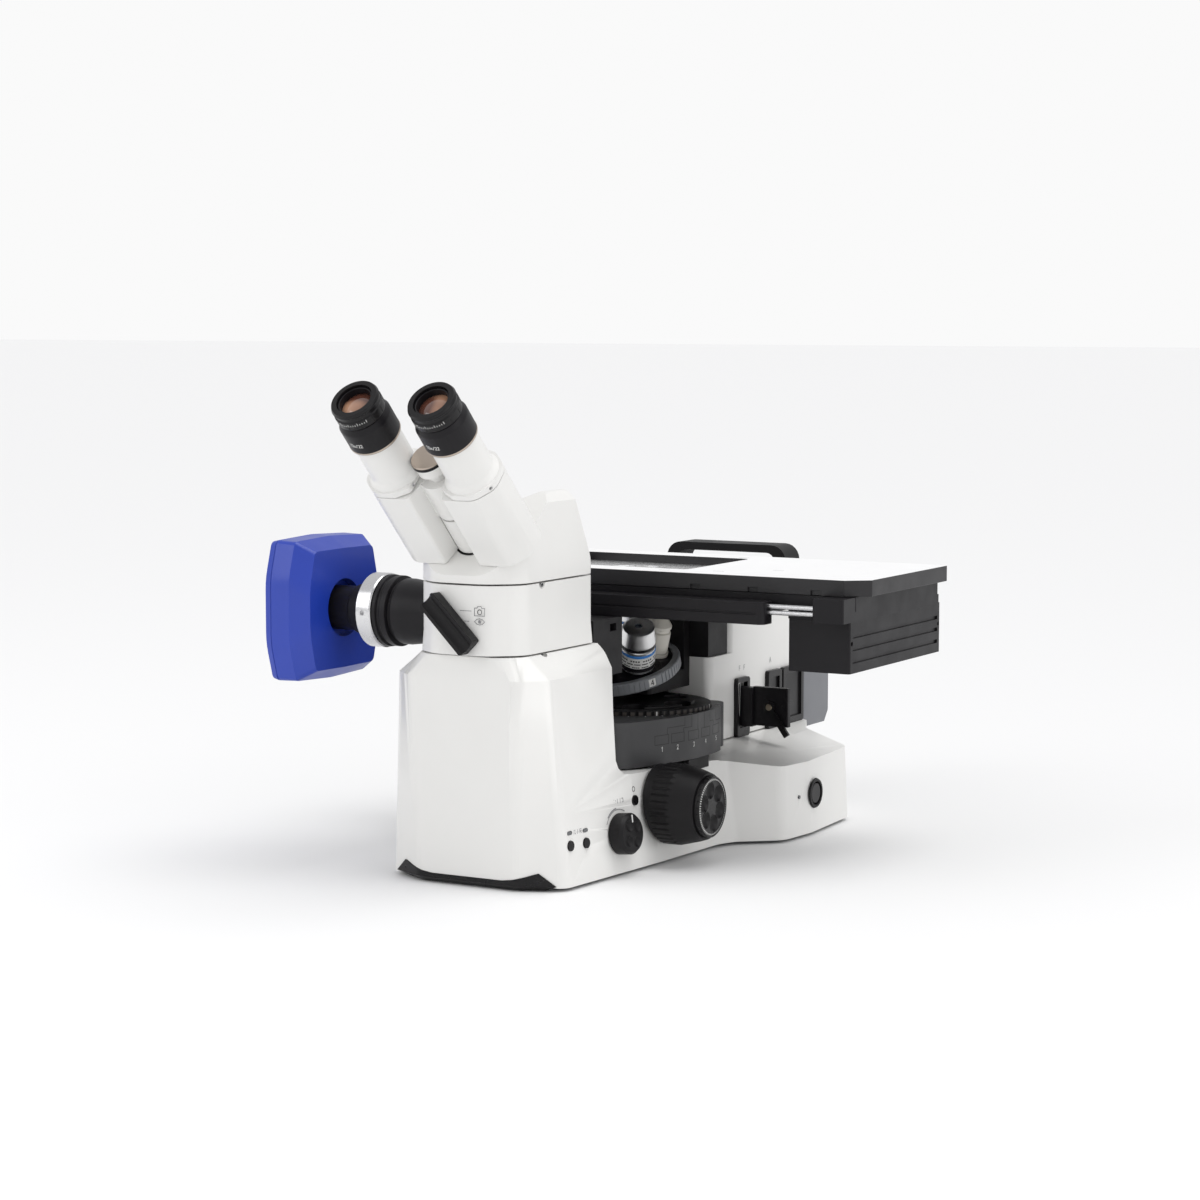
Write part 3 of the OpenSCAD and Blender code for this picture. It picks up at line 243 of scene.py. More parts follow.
LOOK = dict(
    stand_cover=WHITE, light_path_piece=WHITE, tube_head=WHITE, left_prism=WHITE, right_prism=WHITE,
    left_tube=WHITE, right_tube=WHITE, column_cover=WHITE, hinge_post=WHITE,
    base_plate=GREY_PLATE, rubber_feet=RUBBER, front_toe=BLACK_SHINY, tower_back=BLACK_PLASTIC,
    selector=BLACK_PLASTIC, clamp_screws=STEEL, light_train=PRISM, port_adapter=BLACK,
    clamp_ring=SILVER_X, camera_neck=BLACK, camera_body=BLUE, hinge_cap=CAP_BEIGE,
    left_eyepiece=BLACK, right_eyepiece=BLACK, left_lens=LENS, right_lens=LENS,
    left_diopter=BLACK_SHINY, right_diopter=BLACK_SHINY, rear_housing=GREY, carry_handle=BLACK_PLASTIC,
    slide_frames=BLACK_SHINY, aperture_slide=BLACK, aperture_lever=BLACK_SHINY, stage_bracket=BLACK_CAST,
    stage_rear_block=BLACK_CAST, stage_base=BLACK, front_bar=BLACK, middle_plate=BLACK, drive_box=BLACK,
    guide_rods=STEEL, top_plate=STAGE_PAINTED_SHEEN, specimen_insert=INSERT, nosepiece_carrier=BLACK_CAST,
    turret_disc=BLACK, turret_ring=RING_GREY, objectives=CHROME, turret_plugs=BLACK_PLASTIC,
    reflector_module=MODULE_PAINTED_LIT, reflector_wheel=BLACK_PLASTIC, focus_collars=BLACK_CAST,
    coarse_drive=BLACK_PLASTIC, fine_drive=BLACK_SHINY, light_knob=BLACK_PLASTIC,
    lamp_button=BLACK_SHINY, view_button=BLACK_SHINY, snap_button=BLACK_SHINY,
    power_rocker=BLACK_SHINY, rear_sockets=BLACK_PLASTIC, status_lights=LED_GREEN,
    power_unit=STEEL, lamp_unit=GREY_PLATE)
SOFT_EDGE = dict(stand_cover=1.0, light_path_piece=0.8, tube_head=1.6, camera_body=3.5, column_cover=1.2,
                 carry_handle=1.5, rear_housing=2.5, left_prism=1.2, right_prism=1.2, top_plate=0.5,
                 coarse_drive=0.5, reflector_module=1.2)
for name, obj in NODES.items():
    obj.data.materials.clear()
    obj.data.materials.append(LOOK[name])
    obj.data.shade_smooth()
    w = obj.modifiers.new("weld", "WELD")
    w.merge_threshold = 0.00002
    bv = obj.modifiers.new("edges", "BEVEL")
    bv.width = SOFT_EDGE.get(name, 0.35) * MM
    bv.segments = 2
    bv.limit_method = "ANGLE"
    bv.angle_limit = math.radians(28)
    even = obj.modifiers.new("even_normals", "WEIGHTED_NORMAL")
    even.mode = "FACE_AREA"
    even.weight = 80


# Making pieces
def new_object(name, bm, mat, body, smooth=True, bevel=0.0, matrix=None):
    """A mesh piece that rides on a body of the record."""
    me = bpy.data.meshes.new(name)
    bm.normal_update()
    bm.to_mesh(me)
    bm.free()
    me.materials.append(mat)
    o = bpy.data.objects.new(name, me)
    bpy.context.scene.collection.objects.link(o)
    if matrix is not None:
        o.matrix_world = matrix
    if smooth:
        me.shade_smooth()
    if bevel:
        b = o.modifiers.new("edges", "BEVEL")
        b.width = bevel
        b.segments = 2
        b.limit_method = "ANGLE"
        b.angle_limit = math.radians(30)
        b.harden_normals = True
    elif smooth:
        me.set_sharp_from_angle(angle=math.radians(35))
    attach(o, body)
    return o


def slab(bm, pts, z0, z1):
    """A prism between heights z0 and z1 over a closed outline of [x, y]."""
    lo = [bm.verts.new((x, y, z0)) for x, y in pts]
    hi = [bm.verts.new((x, y, z1)) for x, y in pts]
    n = len(pts)
    bm.faces.new(list(reversed(lo)))
    bm.faces.new(hi)
    for i in range(n):
        bm.faces.new((lo[i], lo[(i + 1) % n], hi[(i + 1) % n], hi[i]))


def stroke(bm, pts, w, z0, z1, closed=False):
    """Short bars along a polyline: a printed or engraved line."""
    seq = list(pts) + ([pts[0]] if closed else [])
    for a, b in zip(seq, seq[1:]):
        d = Vector((b[0] - a[0], b[1] - a[1]))
        if d.length < 1e-9:
            continue
        d.normalize()
        n = Vector((-d.y, d.x)) * w / 2
        e = d * w / 2
        q = [(a[0] - e.x - n.x, a[1] - e.y - n.y), (b[0] + e.x - n.x, b[1] + e.y - n.y),
             (b[0] + e.x + n.x, b[1] + e.y + n.y), (a[0] - e.x + n.x, a[1] - e.y + n.y)]
        slab(bm, q, z0, z1)


def circle_pts(cx, cy, r, n=24, a0=0.0, a1=360.0):
    """Points of a circle or of the arc between two angles."""
    full = abs(a1 - a0) >= 360
    k = n if full else n + 1
    return [(cx + r * math.cos(math.radians(a0 + (a1 - a0) * i / n)),
             cy + r * math.sin(math.radians(a0 + (a1 - a0) * i / n))) for i in range(k)]


# Strokes of each character, in a box one wide and two high
FONT = {"0": [[(0.15, 0), (0.85, 0), (1, 0.3), (1, 1.7), (0.85, 2), (0.15, 2), (0, 1.7), (0, 0.3),
               (0.15, 0)]],
        "1": [[(0.2, 1.6), (0.6, 2), (0.6, 0)]],
        "x": [[(0, 0), (1, 1.2)], [(0, 1.2), (1, 0)]],
        "/": [[(0.1, -0.2), (0.9, 2.1)]],
        "2": [[(0, 1.6), (0.3, 2), (0.8, 2), (1, 1.6), (0.9, 1.1), (0, 0), (1, 0)]],
        "4": [[(0.8, 0), (0.8, 2), (0, 0.6), (1, 0.6)]],
        "5": [[(0.9, 2), (0.15, 2), (0.1, 1.15), (0.7, 1.2), (1, 0.8), (0.9, 0.2), (0.6, 0), (0, 0.1)]],
        "3": [[(0, 1.9), (0.8, 2), (1, 1.5), (0.5, 1.1), (1, 0.6), (0.8, 0), (0, 0.1)]],
        "6": [[(0.9, 2), (0.3, 1.5), (0, 0.7), (0.2, 0), (0.8, 0), (1, 0.6), (0.7, 1.1), (0.1, 1)]]}


def wrapped_text(bm, text, radius, middle, z, h, w, lift=0.06):
    """Text on a cylinder round Z: middle is the angle of its centre, h its height in millimetres."""
    step = 0.72 * h
    x = -step * (len(text) - 1) / 2 - h / 4
    for ch in text:
        for line in FONT.get(ch, []):
            for (ax, ay), (bx, by) in zip(line, line[1:]):
                a = Vector((x + ax * h / 2, ay * h / 2))
                b = Vector((x + bx * h / 2, by * h / 2))
                n = max(1, int((b - a).length / 0.6))
                for k in range(n):
                    c = a.lerp(b, (k + 0.5) / n)
                    d = (b - a) / n
                    m = (Matrix.Rotation(math.radians(middle) + c.x / radius, 4, "Z")
                         @ Matrix.Translation(Vector((radius * MM, 0, (z + c.y) * MM)))
                         @ Matrix.Rotation(math.atan2(d.y, d.x), 4, "X"))
                    block(bm, m, 2 * lift * MM, (d.length + w * 0.9) * MM, w * MM)
        x += step


def basis(origin, x, y, z):
    """Frame with its origin at a point in metres and the three axes given."""
    m = Matrix.Identity(4)
    for i, v in enumerate((x, y, z)):
        for j in range(3):
            m[j][i] = v[j]
    for j in range(3):
        m[j][3] = origin[j]
    return m


def place(*v):
    """A point given in millimetres."""
    return Vector([c * MM for c in v])


def block(bm, matrix, *size):
    """A box of that size in metres, centred on the frame of a matrix."""
    cube = bmesh.ops.create_cube(bm, size=1.0)
    bmesh.ops.transform(bm, matrix=matrix @ Matrix.Diagonal((*size, 1)), verts=cube["verts"])


def round_z(x, y, z, degrees):
    """Frame at a place in millimetres, turned about the vertical."""
    return Matrix.Translation(place(x, y, z)) @ Matrix.Rotation(math.radians(degrees), 4, "Z")


def lathe(bm, prof, n=64):
    """A turned body from [radius, height] points in millimetres."""
    rings = []
    for r, z in prof:
        if r < 1e-6:
            rings.append([bm.verts.new((0, 0, z * MM))])
        else:
            rings.append([bm.verts.new((r * MM * math.cos(2 * math.pi * i / n),
                                        r * MM * math.sin(2 * math.pi * i / n), z * MM)) for i in range(n)])
    for a, b in zip(rings, rings[1:]):
        for i in range(n):
            j = (i + 1) % n
            if len(a) == 1 and len(b) == 1:
                continue
            if len(a) == 1:
                bm.faces.new((a[0], b[j], b[i]))
            elif len(b) == 1:
                bm.faces.new((a[i], a[j], b[0]))
            else:
                bm.faces.new((a[i], a[j], b[j], b[i]))
    bmesh.ops.recalc_face_normals(bm, faces=bm.faces)


# Frames of reference
FOOT = place(0, -257, 269)
EYE_Z = Vector((0, -S45, S45))
EYE_Y = Vector((0, S45, S45))
TUBES = basis(FOOT, RIGHT, EYE_Y, EYE_Z)


def eye(side, z):
    """Frame on an eyepiece axis: side is 1 for the right tube, z is measured from the hinge's foot."""
    return TUBES @ Matrix.Translation(place(34 * side, -3, z))


TILT = math.radians(TURRET_TILT)
CONE = SEAT_R / math.sin(TILT)
APEX = place(0, 0, SEAT_Z - CONE)


def seat(angle):
    """Frame on an objective's seat, at its angle round the turret's axis."""
    return (Matrix.Translation(APEX) @ Matrix.Rotation(TILT, 4, "X")
            @ Matrix.Rotation(math.radians(angle), 4, "Z")
            @ Matrix.Rotation(-TILT, 4, "X") @ Matrix.Translation(place(0, 0, CONE)))


TURRET = (Matrix.Translation(APEX) @ Matrix.Rotation(TILT, 4, "X")
          @ Matrix.Translation(place(0, 0, CONE * math.cos(TILT))))


def side_frame(y, z):
    """Frame on the stand's right side: X towards the rear, Y up, Z out of the wall."""
    foot = WALL_FOOT_X + WALL_SPREAD * (y - WALL_FRONT_Y) / WALL_RUN
    x = foot + (WALL_TOP_X - foot) * z / WALL_TOP_Z
    a = -math.atan(WALL_SPREAD / WALL_RUN * (1 - z / WALL_TOP_Z))
    b = math.pi / 2 - math.atan((foot - WALL_TOP_X) / WALL_TOP_Z)
    m = Matrix.Rotation(a, 4, "Z") @ Matrix.Rotation(b, 4, "Y")
    zz = (m @ Vector((0, 0, 1, 0))).xyz
    xx = (m @ Vector((0, 1, 0, 0))).xyz
    return basis(place(x, y, z), xx, zz.cross(xx), zz)


# Objectives
def objective_trim(tag, angle, rings):
    """Turned rings laid over the objective in the seat at that angle."""
    for i, (mat, prof) in enumerate(rings):
        bm = bmesh.new()
        lathe(bm, prof, 64)
        new_object(f"objective_{tag}_{i}", bm, mat, "turret", matrix=seat(angle))


objective_trim("large", 240, [
    (BLACK, [(12.6, 0.3), (12.6, 5.5), (14.7, 6.0), (14.7, 9.6), (14.4, 9.8)]),
    (INK_WHITE, [(14.4, 9.8), (14.75, 10), (14.75, 20), (14.4, 20.2)]),
    (INK_BLUE, [(14.4, 20.4), (14.8, 20.5), (14.8, 22.8), (14.4, 22.9)]),
    (BLACK, [(13.4, 24.0), (13.7, 24.2), (13.7, 28.0), (13.4, 28.4)]),
    (CHROME, [(14.4, 29.0), (14.7, 29.2), (14.7, 31.0), (13.2, 40.2), (13.2, 43.2), (11.2, 44.2)]),
    (FRONT_GLASS, [(3.4, 44.05), (2.4, 43.7), (0, 43.55)])])
objective_trim("small", 300, [
    (CREAM, [(12.1, 0.3), (12.1, 3.1), (10.2, 3.3), (11.15, 4.2), (11.15, 21.2), (10.2, 22.2), (10.2, 24.4),
             (11.15, 25.2), (11.15, 27.4), (6.15, 34.2), (6.15, 37.1), (4.1, 38.2)]),
    (FRONT_GLASS, [(3.3, 38.05), (2.2, 37.7), (0, 37.6)])])
objective_trim("used", 0, [
    (INK_WHITE, [(11.9, 8), (12.1, 8.2), (12.1, 17), (11.9, 17.2)]),
    (INK_BLUE, [(11.9, 18), (12.15, 18.2), (12.15, 20.4), (11.9, 20.6)]),
    (FRONT_GLASS, [(3.3, 44.05), (2.2, 43.7), (0, 43.6)])])
bm = bmesh.new()
for row, (n, h) in enumerate([(3, 2.2), (5, 1.5), (4, 1.5)]):
    for k in range(n * 6):
        if (k * 7 + row * 3) % 5 == 0:
            continue
        a = -16 + k * (360 / (n * 6)) * 0.42 + row * 3
        r = 14.8 * MM
        p = Vector((r * math.cos(math.radians(a)), r * math.sin(math.radians(a)), (17.5 - row * 3.1) * MM))
        m = Matrix.Translation(p) @ Matrix.Rotation(math.radians(a), 4, "Z")
        block(bm, m, 0.0002, 0.0014, h * 0.6 * MM)
new_object("objective_label_marks", bm, INK_BLACK, "turret", smooth=False, matrix=seat(240))

# Number tags on the grip ring of the turret
for i in range(6):
    a = math.radians(60 * i + 30)
    m = TURRET @ Matrix.Translation(place(0, 0, -7.5)) @ Matrix.Rotation(a, 4, "Z")
    out = (m @ Vector((1, 0, 0, 0))).xyz
    up = (m @ Vector((0, 0, 1, 0))).xyz
    across = up.cross(out)
    o = (m @ Vector((GRIP_RING_R * MM, 0, 0, 1))).xyz
    fr = basis(o, across, up, out)
    bm = bmesh.new()
    slab(bm, [(-0.0033, -0.0033), (0.0033, -0.0033), (0.0033, 0.0033), (-0.0033, 0.0033)], -0.0004, 0.0001)
    new_object(f"turret_tag_{i}", bm, INK_WHITE, "turret", smooth=False, matrix=fr)
    bm = bmesh.new()
    for line in FONT[str((i + 4) % 6 + 1)]:
        stroke(bm, [((-1.2 + x * 2.4) * MM, (-2.2 + y * 2.2) * MM) for x, y in line], 0.0006, 0.0001, 0.00022)
    new_object(f"turret_number_{i}", bm, INK_BLACK, "turret", smooth=False, matrix=fr)

# Eyepieces
for side, tag in ((1, "right"), (-1, "left")):
    body = f"{tag}_tube_body"
    bm = bmesh.new()
    lathe(bm, [(21.02, 121.2), (21.15, 121.4), (21.15, 122.6), (21.02, 122.8)])
    new_object(f"{tag}_barrel_band", bm, CAP_BEIGE, body, matrix=eye(side, 0))
    bm = bmesh.new()
    lathe(bm, [(12.6, 155.6), (13.0, 157.2), (13.9, 158.9), (14.0, 156.0)])
    new_object(f"{tag}_lens_seat", bm, BLACK, body, matrix=eye(side, 0))
    bm = bmesh.new()
    for k in range(-8, 9):
        a = math.radians(-90 + k * 5.5)
        ln = 2.6 if k % 4 == 0 else 1.5
        m = Matrix.Rotation(a, 4, "Z") @ Matrix.Translation(place(19.52, 0, 150.6 + ln / 2))
        block(bm, m, 0.00014, 0.00035, ln * MM)
    new_object(f"{tag}_diopter_ticks", bm, INK_WHITE, f"{tag}_diopter_ring", smooth=False,
               matrix=eye(side, 0))
    bm = bmesh.new()
    wrapped_text(bm, "10x/22", 21.0, -98, 129.6, 2.9, 0.42)
    new_object(f"{tag}_magnification", bm, INK_WHITE, body, smooth=False, matrix=eye(side, 0))
    # Clamp screws in the tube's flange
    for k, a in enumerate((-150, -30)):
        aa = a if side > 0 else 180 - a
        m = (eye(side, 78.5) @ Matrix.Rotation(math.radians(aa), 4, "Z")
             @ Matrix.Translation(place(21.4, 0, 0)) @ Matrix.Rotation(math.pi / 2, 4, "Y"))
        bm = bmesh.new()
        lathe(bm, [(0.0, 0.4), (0.7, 0.4), (0.75, 1.7), (1.4, 1.7), (1.5, 1.3), (1.5, 0)], 20)
        new_object(f"{tag}_flange_screw_{k}", bm, STEEL, body, matrix=m)

bm = bmesh.new()
lathe(bm, [(14.05, 92.4), (14.3, 92.6), (14.3, 95.0), (14.05, 95.2)])
new_object("hinge_cap_edge", bm, BLACK, "stand", matrix=TUBES)
bm = bmesh.new()
lathe(bm, [(8.1, 0.06), (16.4, 0.06), (16.6, 0.3), (8.1, 0.3)])
new_object("hinge_seal", bm, BLACK_SHINY, "stand", matrix=TUBES)


# Printed marks
def mark(name, fr, lines, w, mat, body, rings=(), fills=()):
    """Printed lines, rings and filled shapes in millimetres, laid on the plane of a frame."""
    bm = bmesh.new()
    for pts in lines:
        stroke(bm, [(x * MM, y * MM) for x, y in pts], w * MM, -PRINT_SINK, PRINT_LIFT)
    for cx, cy, r in rings:
        stroke(bm, circle_pts(cx * MM, cy * MM, r * MM, 28), w * MM, -PRINT_SINK, PRINT_LIFT, closed=True)
    for pts in fills:
        slab(bm, [(x * MM, y * MM) for x, y in pts], -PRINT_SINK, PRINT_LIFT)
    return new_object(name, bm, mat, body, smooth=False, matrix=fr)


front = basis(place(0, -283.05, 206), RIGHT, UP, TO_FRONT)
mark("selector_marks", front, [
    [(2, 10), (12, 10)], [(6, 2), (10, 2)],
    [(15, 6.5), (24, 6.5), (24, 12.5), (21.6, 12.5), (20.8, 13.8), (18, 13.8), (17.2, 12.5), (15, 12.5),
     (15, 6.5)],
    [(15, 2), (17, 3.8), (19.5, 4.4), (22, 3.8), (24, 2), (22, 0.2), (19.5, -0.4), (17, 0.2), (15, 2)]],
    0.45, INK_GREY, "stand", rings=[(19.5, 9.4, 1.9)], fills=[circle_pts(19.5, 2, 1.3, 20)])

mark("light_knob_arc", side_frame(*LIGHT_KNOB), [
    circle_pts(0, 0, 19.5, 14, 60, 150)], 0.5, INK_GREY, "stand",
    fills=[circle_pts(0, 0, 21.2, 10, 95, 135) + list(reversed(circle_pts(0, 0, 20.1, 10, 95, 135)))])
mark("light_knob_marks", side_frame(*LIGHT_KNOB), [
    [(-4, 24), (-4, 27.5)], [(-1.5, 24.4), (-1.5, 27)], [(1, 24.4), (1, 27.6)], [(5, 24.5), (5, 27.5)],
    [(7.4, 24.5), (9.2, 24.5), (9.2, 27.4), (7.4, 27.4)]], 0.5, INK_GREY, "stand")
mark("button_icons", side_frame(-235, 42.6), [
    [(-5.0, -1.6), (-5.0, 1.6), (-3.0, 1.6), (-3.6, -0.6), (-2.4, -1.6)], [(0.2, -1.7), (0.2, 1.7)],
    [(3.4, -1.6), (3.4, 1.6), (5.4, 1.6), (5.4, 0.2), (3.8, 0.2), (5.6, -1.6)]], 0.4, INK_GREY, "stand")
mark("snap_icon", side_frame(-149.5, 64), [], 0.5, INK_BLACK, "stand", rings=[(0, 0, 1.9)])
bm = bmesh.new()
fr = side_frame(*LIGHT_KNOB)
slab(bm, [(x * MM, y * MM) for x, y in [(-0.7, 9), (0.7, 9), (0.7, 15), (-0.7, 15)]], 0.0128, 0.01345)
new_object("light_knob_pointer", bm, INK_WHITE, "light_control", smooth=False, matrix=fr)


def rounded_path(pts, n=10):
    """Open polyline of [x, y, r] with its inner corners rounded."""
    out = [Vector(pts[0][:2])]
    for a, b, c in zip(pts, pts[1:], pts[2:]):
        a, q, c, rad = Vector(a[:2]), Vector(b[:2]), Vector(c[:2]), b[2]
        u, v = (a - q).normalized(), (c - q).normalized()
        half = u.angle(v) / 2
        t = rad / math.tan(half)
        mid = q + (u + v).normalized() * (rad / math.sin(half))
        s0, s1 = q + u * t - mid, q + v * t - mid
        turn = s0.angle_signed(s1)
        for k in range(n + 1):
            f = -turn * k / n
            out.append(mid + Vector((s0.x * math.cos(f) - s0.y * math.sin(f),
                                     s0.x * math.sin(f) + s0.y * math.cos(f))))
    out.append(Vector(pts[-1][:2]))
    return out


# Outline of the reflector module seen from above: [x, y, corner radius]
SIDE = rounded_path([(-74, -143, 0), (62, -143, 24), (79, -97, 80), (88, -60, 80), (88, -22, 60),
                     (84, 1, 8), (-74, 1, 0)])


def on_module(y):
    """Point and outward normal where the module's bowed side passes y."""
    for a, b in zip(SIDE, SIDE[1:]):
        if a.x > 40 and b.x > 40 and a.y <= y <= b.y and b.y > a.y:
            q = a.lerp(b, (y - a.y) / (b.y - a.y))
            d = (b - a).normalized()
            return q, Vector((d.y, -d.x))
    return Vector((88, y)), Vector((1, 0))


def wall_line(bm, y0, z0, y1, z1, w, lift=0.05):
    """A line drawn on the module's side between two [y, z] places."""
    n = max(1, int(abs(y1 - y0) / 2.5))
    spots = []
    for k in range(n + 1):
        y, z = y0 + (y1 - y0) * k / n, z0 + (z1 - z0) * k / n
        q, out = on_module(y)
        spots.append((Vector((q.x, q.y, z)), Vector((out.x, out.y, 0))))
    for (p0, n0), (p1, n1) in zip(spots, spots[1:]):
        out = (n0 + n1).normalized()
        run = (p1 - p0).normalized()
        fr = basis(place(*((p0 + p1) / 2)), run, out.cross(run), out)
        block(bm, fr, ((p1 - p0).length + w) * MM, w * MM, 2 * lift * MM)


grooves, numbers = bmesh.new(), bmesh.new()
for k, y in enumerate(FIELD_Y):
    a, b = y - 7.6, min(y + 7.6, -2)
    for q in [(a, 93, b, 93), (a, 100.6, b, 100.6), (a, 93, a, 100.6), (b, 93, b, 100.6)]:
        wall_line(grooves, *q, 0.55)
    for line in FONT[str(k + 1)]:
        for (ax, ay), (bx, by) in zip(line, line[1:]):
            wall_line(numbers, y - 0.9 + ax * 1.8, 87.2 + ay * 1.8, y - 0.9 + bx * 1.8, 87.2 + by * 1.8, 0.45)
for leads in [[(-91, 100.6), (-91, 106), (-70, 106), (-70, 113)],
              [(-71.5, 100.6), (-71.5, 104), (-61, 104), (-61, 113)],
              [(-51.5, 100.6), (-51.5, 113)], [(-40, 100.6), (-40, 113)],
              [(-24, 100.6), (-24, 105), (-30, 105), (-30, 113)],
              [(-6, 104), (-18, 104), (-18, 113)]]:
    for (y0, z0), (y1, z1) in zip(leads, leads[1:]):
        wall_line(grooves, y0, z0, y1, z1, 0.55)
new_object("module_grooves", grooves, GROOVE, "stand", smooth=False)
new_object("module_numbers", numbers, INK_WHITE, "stand", smooth=False)

# Index lines beside the reflector wheel, faces and ticks on its rim
bm = bmesh.new()
for a in (-78, -66, -54, -42, -30, -18):
    m = round_z(WHEEL_X, WHEEL_Y, 0, a)
    block(bm, m @ Matrix.Translation(place(67.6, 0, 114.03)), 0.0042, 0.0006, 0.00012)
new_object("module_index", bm, INK_WHITE, "stand", smooth=False)
bm = bmesh.new()
for k in range(60):
    big = k % 10 == 3
    m = round_z(WHEEL_X, WHEEL_Y, WHEEL_Z, 6 * k + 3)
    block(bm, m @ Matrix.Translation(place(63.92, 0, 0)),
          0.0003, 0.0012 if big else 0.0034, 0.0036 if big else 0.0030)
new_object("wheel_rim_faces", bm, RIM_BROWN, "reflector", smooth=False)
bm = bmesh.new()
for k in range(6):
    m = round_z(WHEEL_X, WHEEL_Y, WHEEL_Z, 60 * k - 45)
    block(bm, m @ Matrix.Translation(place(64.1, 0, 0)), 0.0003, 0.001, 0.0036)
new_object("wheel_ticks", bm, INK_WHITE, "reflector", smooth=False)

# Scale on the rim of the right fine knob's face
bm = bmesh.new()
for k in range(72):
    m = Matrix.Translation(place(KNOB_FACE, FOCUS_Y, FOCUS_Z)) @ Matrix.Rotation(math.radians(5 * k), 4, "X")
    m = m @ Matrix.Translation(place(0, 0, FINE_R - 2.3)) @ Matrix.Rotation(math.atan(-1 / 3), 4, "Y")
    block(bm, m, 0.00012, 0.0007, 0.0024)
new_object("fine_scale", bm, INK_WHITE, "fine", smooth=False)

# Foot block that shows under the module's edge
bm = bmesh.new()
slab(bm, [(0.0835, -0.066), (0.0872, -0.066), (0.0872, -0.030), (0.0835, -0.030)], 0.0665, 0.0764)
new_object("module_foot", bm, BLACK_CAST, "stand", smooth=False, bevel=0.0004)

# Letters beside the slides of the column
column = basis(place(54.05, 0, 0), REAR, UP, RIGHT)
mark("slide_letters", column, [
    [(91, 132), (91, 136), (93, 136)], [(91, 134), (92.6, 134)],
    [(100, 132), (100, 136), (102, 136)], [(100, 134), (101.6, 134)],
    [(151, 133), (152.5, 137.5), (154, 133)], [(151.6, 134.8), (153.4, 134.8)]], 0.5, INK_GREY, "stand")

mark("slide_triangle", basis(place(58, 0, 0), REAR, UP, RIGHT), [
    [(82.1, 121.5), (85.6, 122), (84.2, 93), (82.1, 121.5)]], 0.42, INK_WHITE, "stand")
front_plate = basis(place(85, 89.95, 102), RIGHT, UP, TO_FRONT)
bm = bmesh.new()
lathe(bm, [(0, 3.5), (2.6, 3.5), (3.0, 3.1), (3.0, 2.6)], 32)
new_object("aperture_centre_screw", bm, TAN, "aperture_arm", matrix=front_plate)
for k, (x, z, rr) in enumerate([(3.6, -5.2, 0.9), (-5.5, 7.5, 0.8), (-9.0, -10.5, 0.8), (11.5, 2.0, 0.8)]):
    bm = bmesh.new()
    lathe(bm, [(0, 0.25), (rr * 0.6, 0.25), (rr, 0.1), (rr, -0.1)], 20)
    new_object(f"aperture_pin_{k}", bm, STEEL if k < 1 else BLACK_SHINY, "aperture",
               matrix=front_plate @ Matrix.Translation(place(x, z, 0)))

# Marks on the stage
bm = bmesh.new()
for x, y in [(-30, -70), (66, -72), (110, -60), (150, -30), (70, 66)]:
    stroke(bm, [((x - 4) * MM, y * MM), ((x + 5) * MM, (y + 1) * MM)], 0.0005, STAGE_TOP, STAGE_TOP + 0.00006)
new_object("stage_marks", bm, INK_GREY, "stage_y", smooth=False)

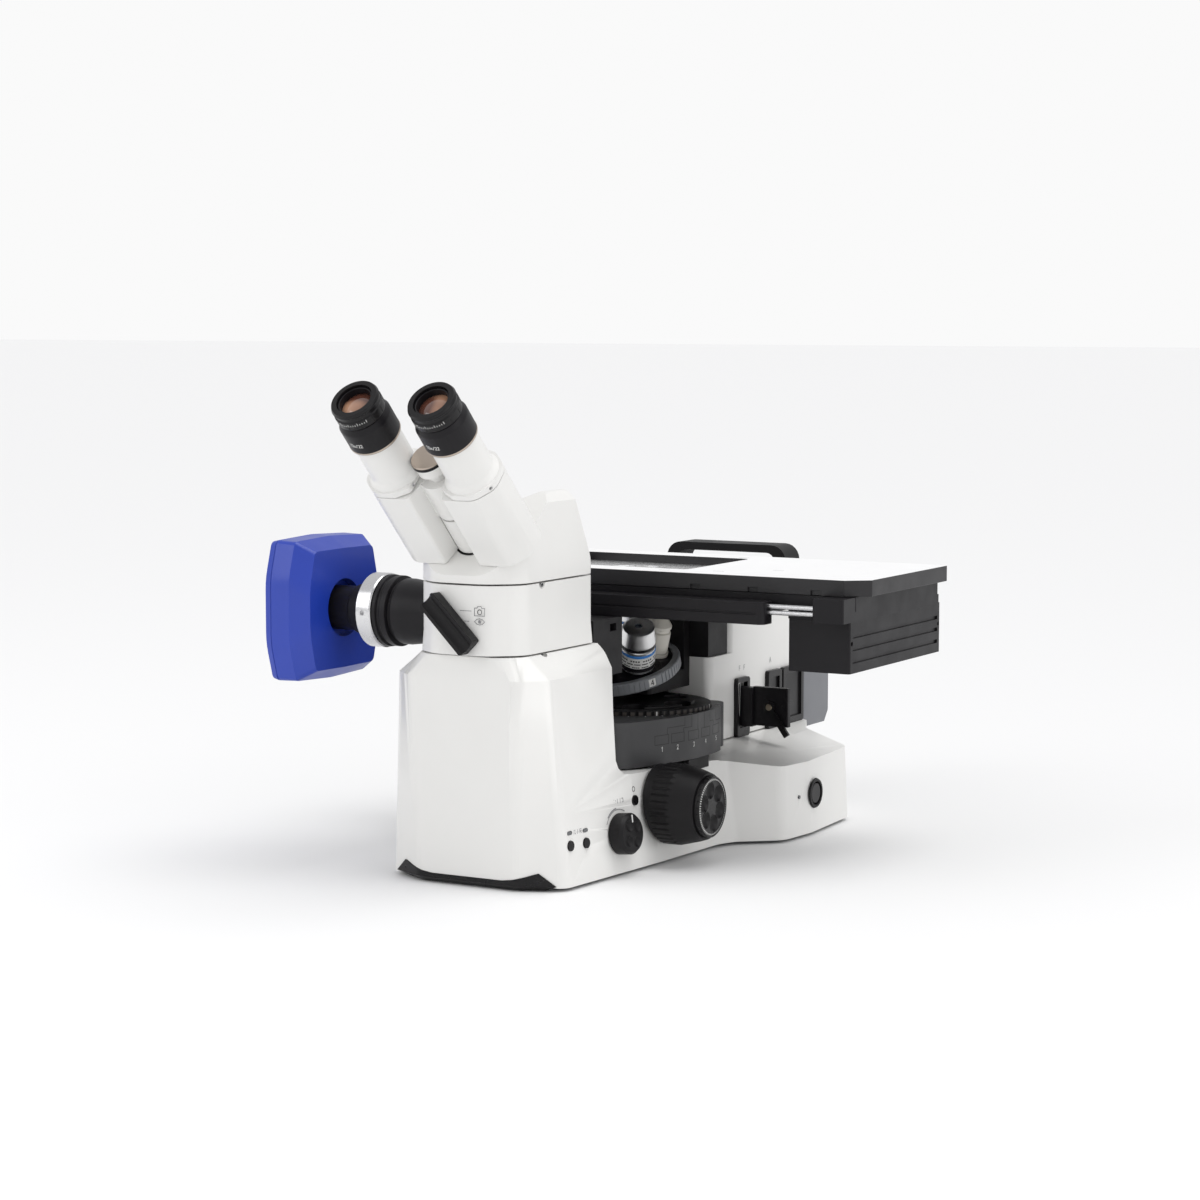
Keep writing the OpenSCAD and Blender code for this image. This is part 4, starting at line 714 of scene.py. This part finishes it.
# Floor, light and camera
def studio():
    """Pale floor, world and the three soft lights."""
    bm = bmesh.new()
    corners = ((-1, -1), (1, -1), (1, 1), (-1, 1))
    v = [bm.verts.new((x * FLOOR_HALF, y * FLOOR_HALF, FLOOR_Z)) for x, y in corners]
    bm.faces.new(v)
    me = bpy.data.meshes.new("floor")
    bm.to_mesh(me)
    bm.free()
    floor = bpy.data.objects.new("floor", me)
    bpy.context.scene.collection.objects.link(floor)
    m = bpy.data.materials.new("pale_floor")
    m.use_nodes = True
    nt = m.node_tree
    b = nt.nodes["Principled BSDF"]
    b.inputs["Base Color"].default_value = (FLOOR_TONE, FLOOR_TONE, FLOOR_TONE, 1)
    b.inputs["Roughness"].default_value = 0.9
    b.inputs["Specular IOR Level"].default_value = 0.1
    me.materials.append(m)

    w = bpy.data.worlds.new("studio")
    bpy.context.scene.world = w
    w.use_nodes = True
    nt = w.node_tree
    bg = nt.nodes["Background"]
    bg.inputs["Color"].default_value = (0.94, 0.94, 0.95, 1)
    bg.inputs["Strength"].default_value = 0.72
    white = nt.nodes.new("ShaderNodeBackground")
    white.inputs["Color"].default_value = (0.955, 0.955, 0.955, 1)
    white.inputs["Strength"].default_value = 1.0
    mix = nt.nodes.new("ShaderNodeMixShader")
    lp = nt.nodes.new("ShaderNodeLightPath")
    nt.links.new(lp.outputs["Is Camera Ray"], mix.inputs["Fac"])
    nt.links.new(bg.outputs["Background"], mix.inputs[1])
    nt.links.new(white.outputs["Background"], mix.inputs[2])
    nt.links.new(mix.outputs["Shader"], nt.nodes["World Output"].inputs["Surface"])

    def area(name, loc, target, size, power):
        d = bpy.data.lights.new(name, "AREA")
        d.shape = "RECTANGLE"
        d.size, d.size_y = size
        d.energy = power
        o = bpy.data.objects.new(name, d)
        bpy.context.scene.collection.objects.link(o)
        o.location = loc
        o.rotation_euler = (Vector(target) - Vector(loc)).to_track_quat("-Z", "Y").to_euler()

    sun = bpy.data.lights.new("soft_top", "SUN")
    sun.energy = 1.33
    sun.angle = math.radians(50)
    so = bpy.data.objects.new("soft_top", sun)
    bpy.context.scene.collection.objects.link(so)
    so.rotation_euler = Vector((0.34, 0.12, 1.0)).to_track_quat("Z", "Y").to_euler()
    area("key", (-1.3, -2.0, 1.3), (0, -0.1, 0.15), (1.6, 1.6), 11.5)
    area("fill", (2.0, -0.7, 0.9), (0, -0.1, 0.12), (1.4, 1.4), 6.2)


studio()
cam = bpy.data.cameras.new("camera")
cam.lens = CAMERA_LENS
cam.sensor_width = 36.0
cam.sensor_fit = "HORIZONTAL"
cam_obj = bpy.data.objects.new("camera", cam)
bpy.context.scene.collection.objects.link(cam_obj)
cam_obj.location = CAMERA_AT
cam_obj.rotation_euler = (math.radians(90 - CAMERA_PITCH), 0, math.atan2(0.4924, 0.8704))
bpy.context.scene.camera = cam_obj
bpy.context.scene.view_settings.view_transform = "Standard"
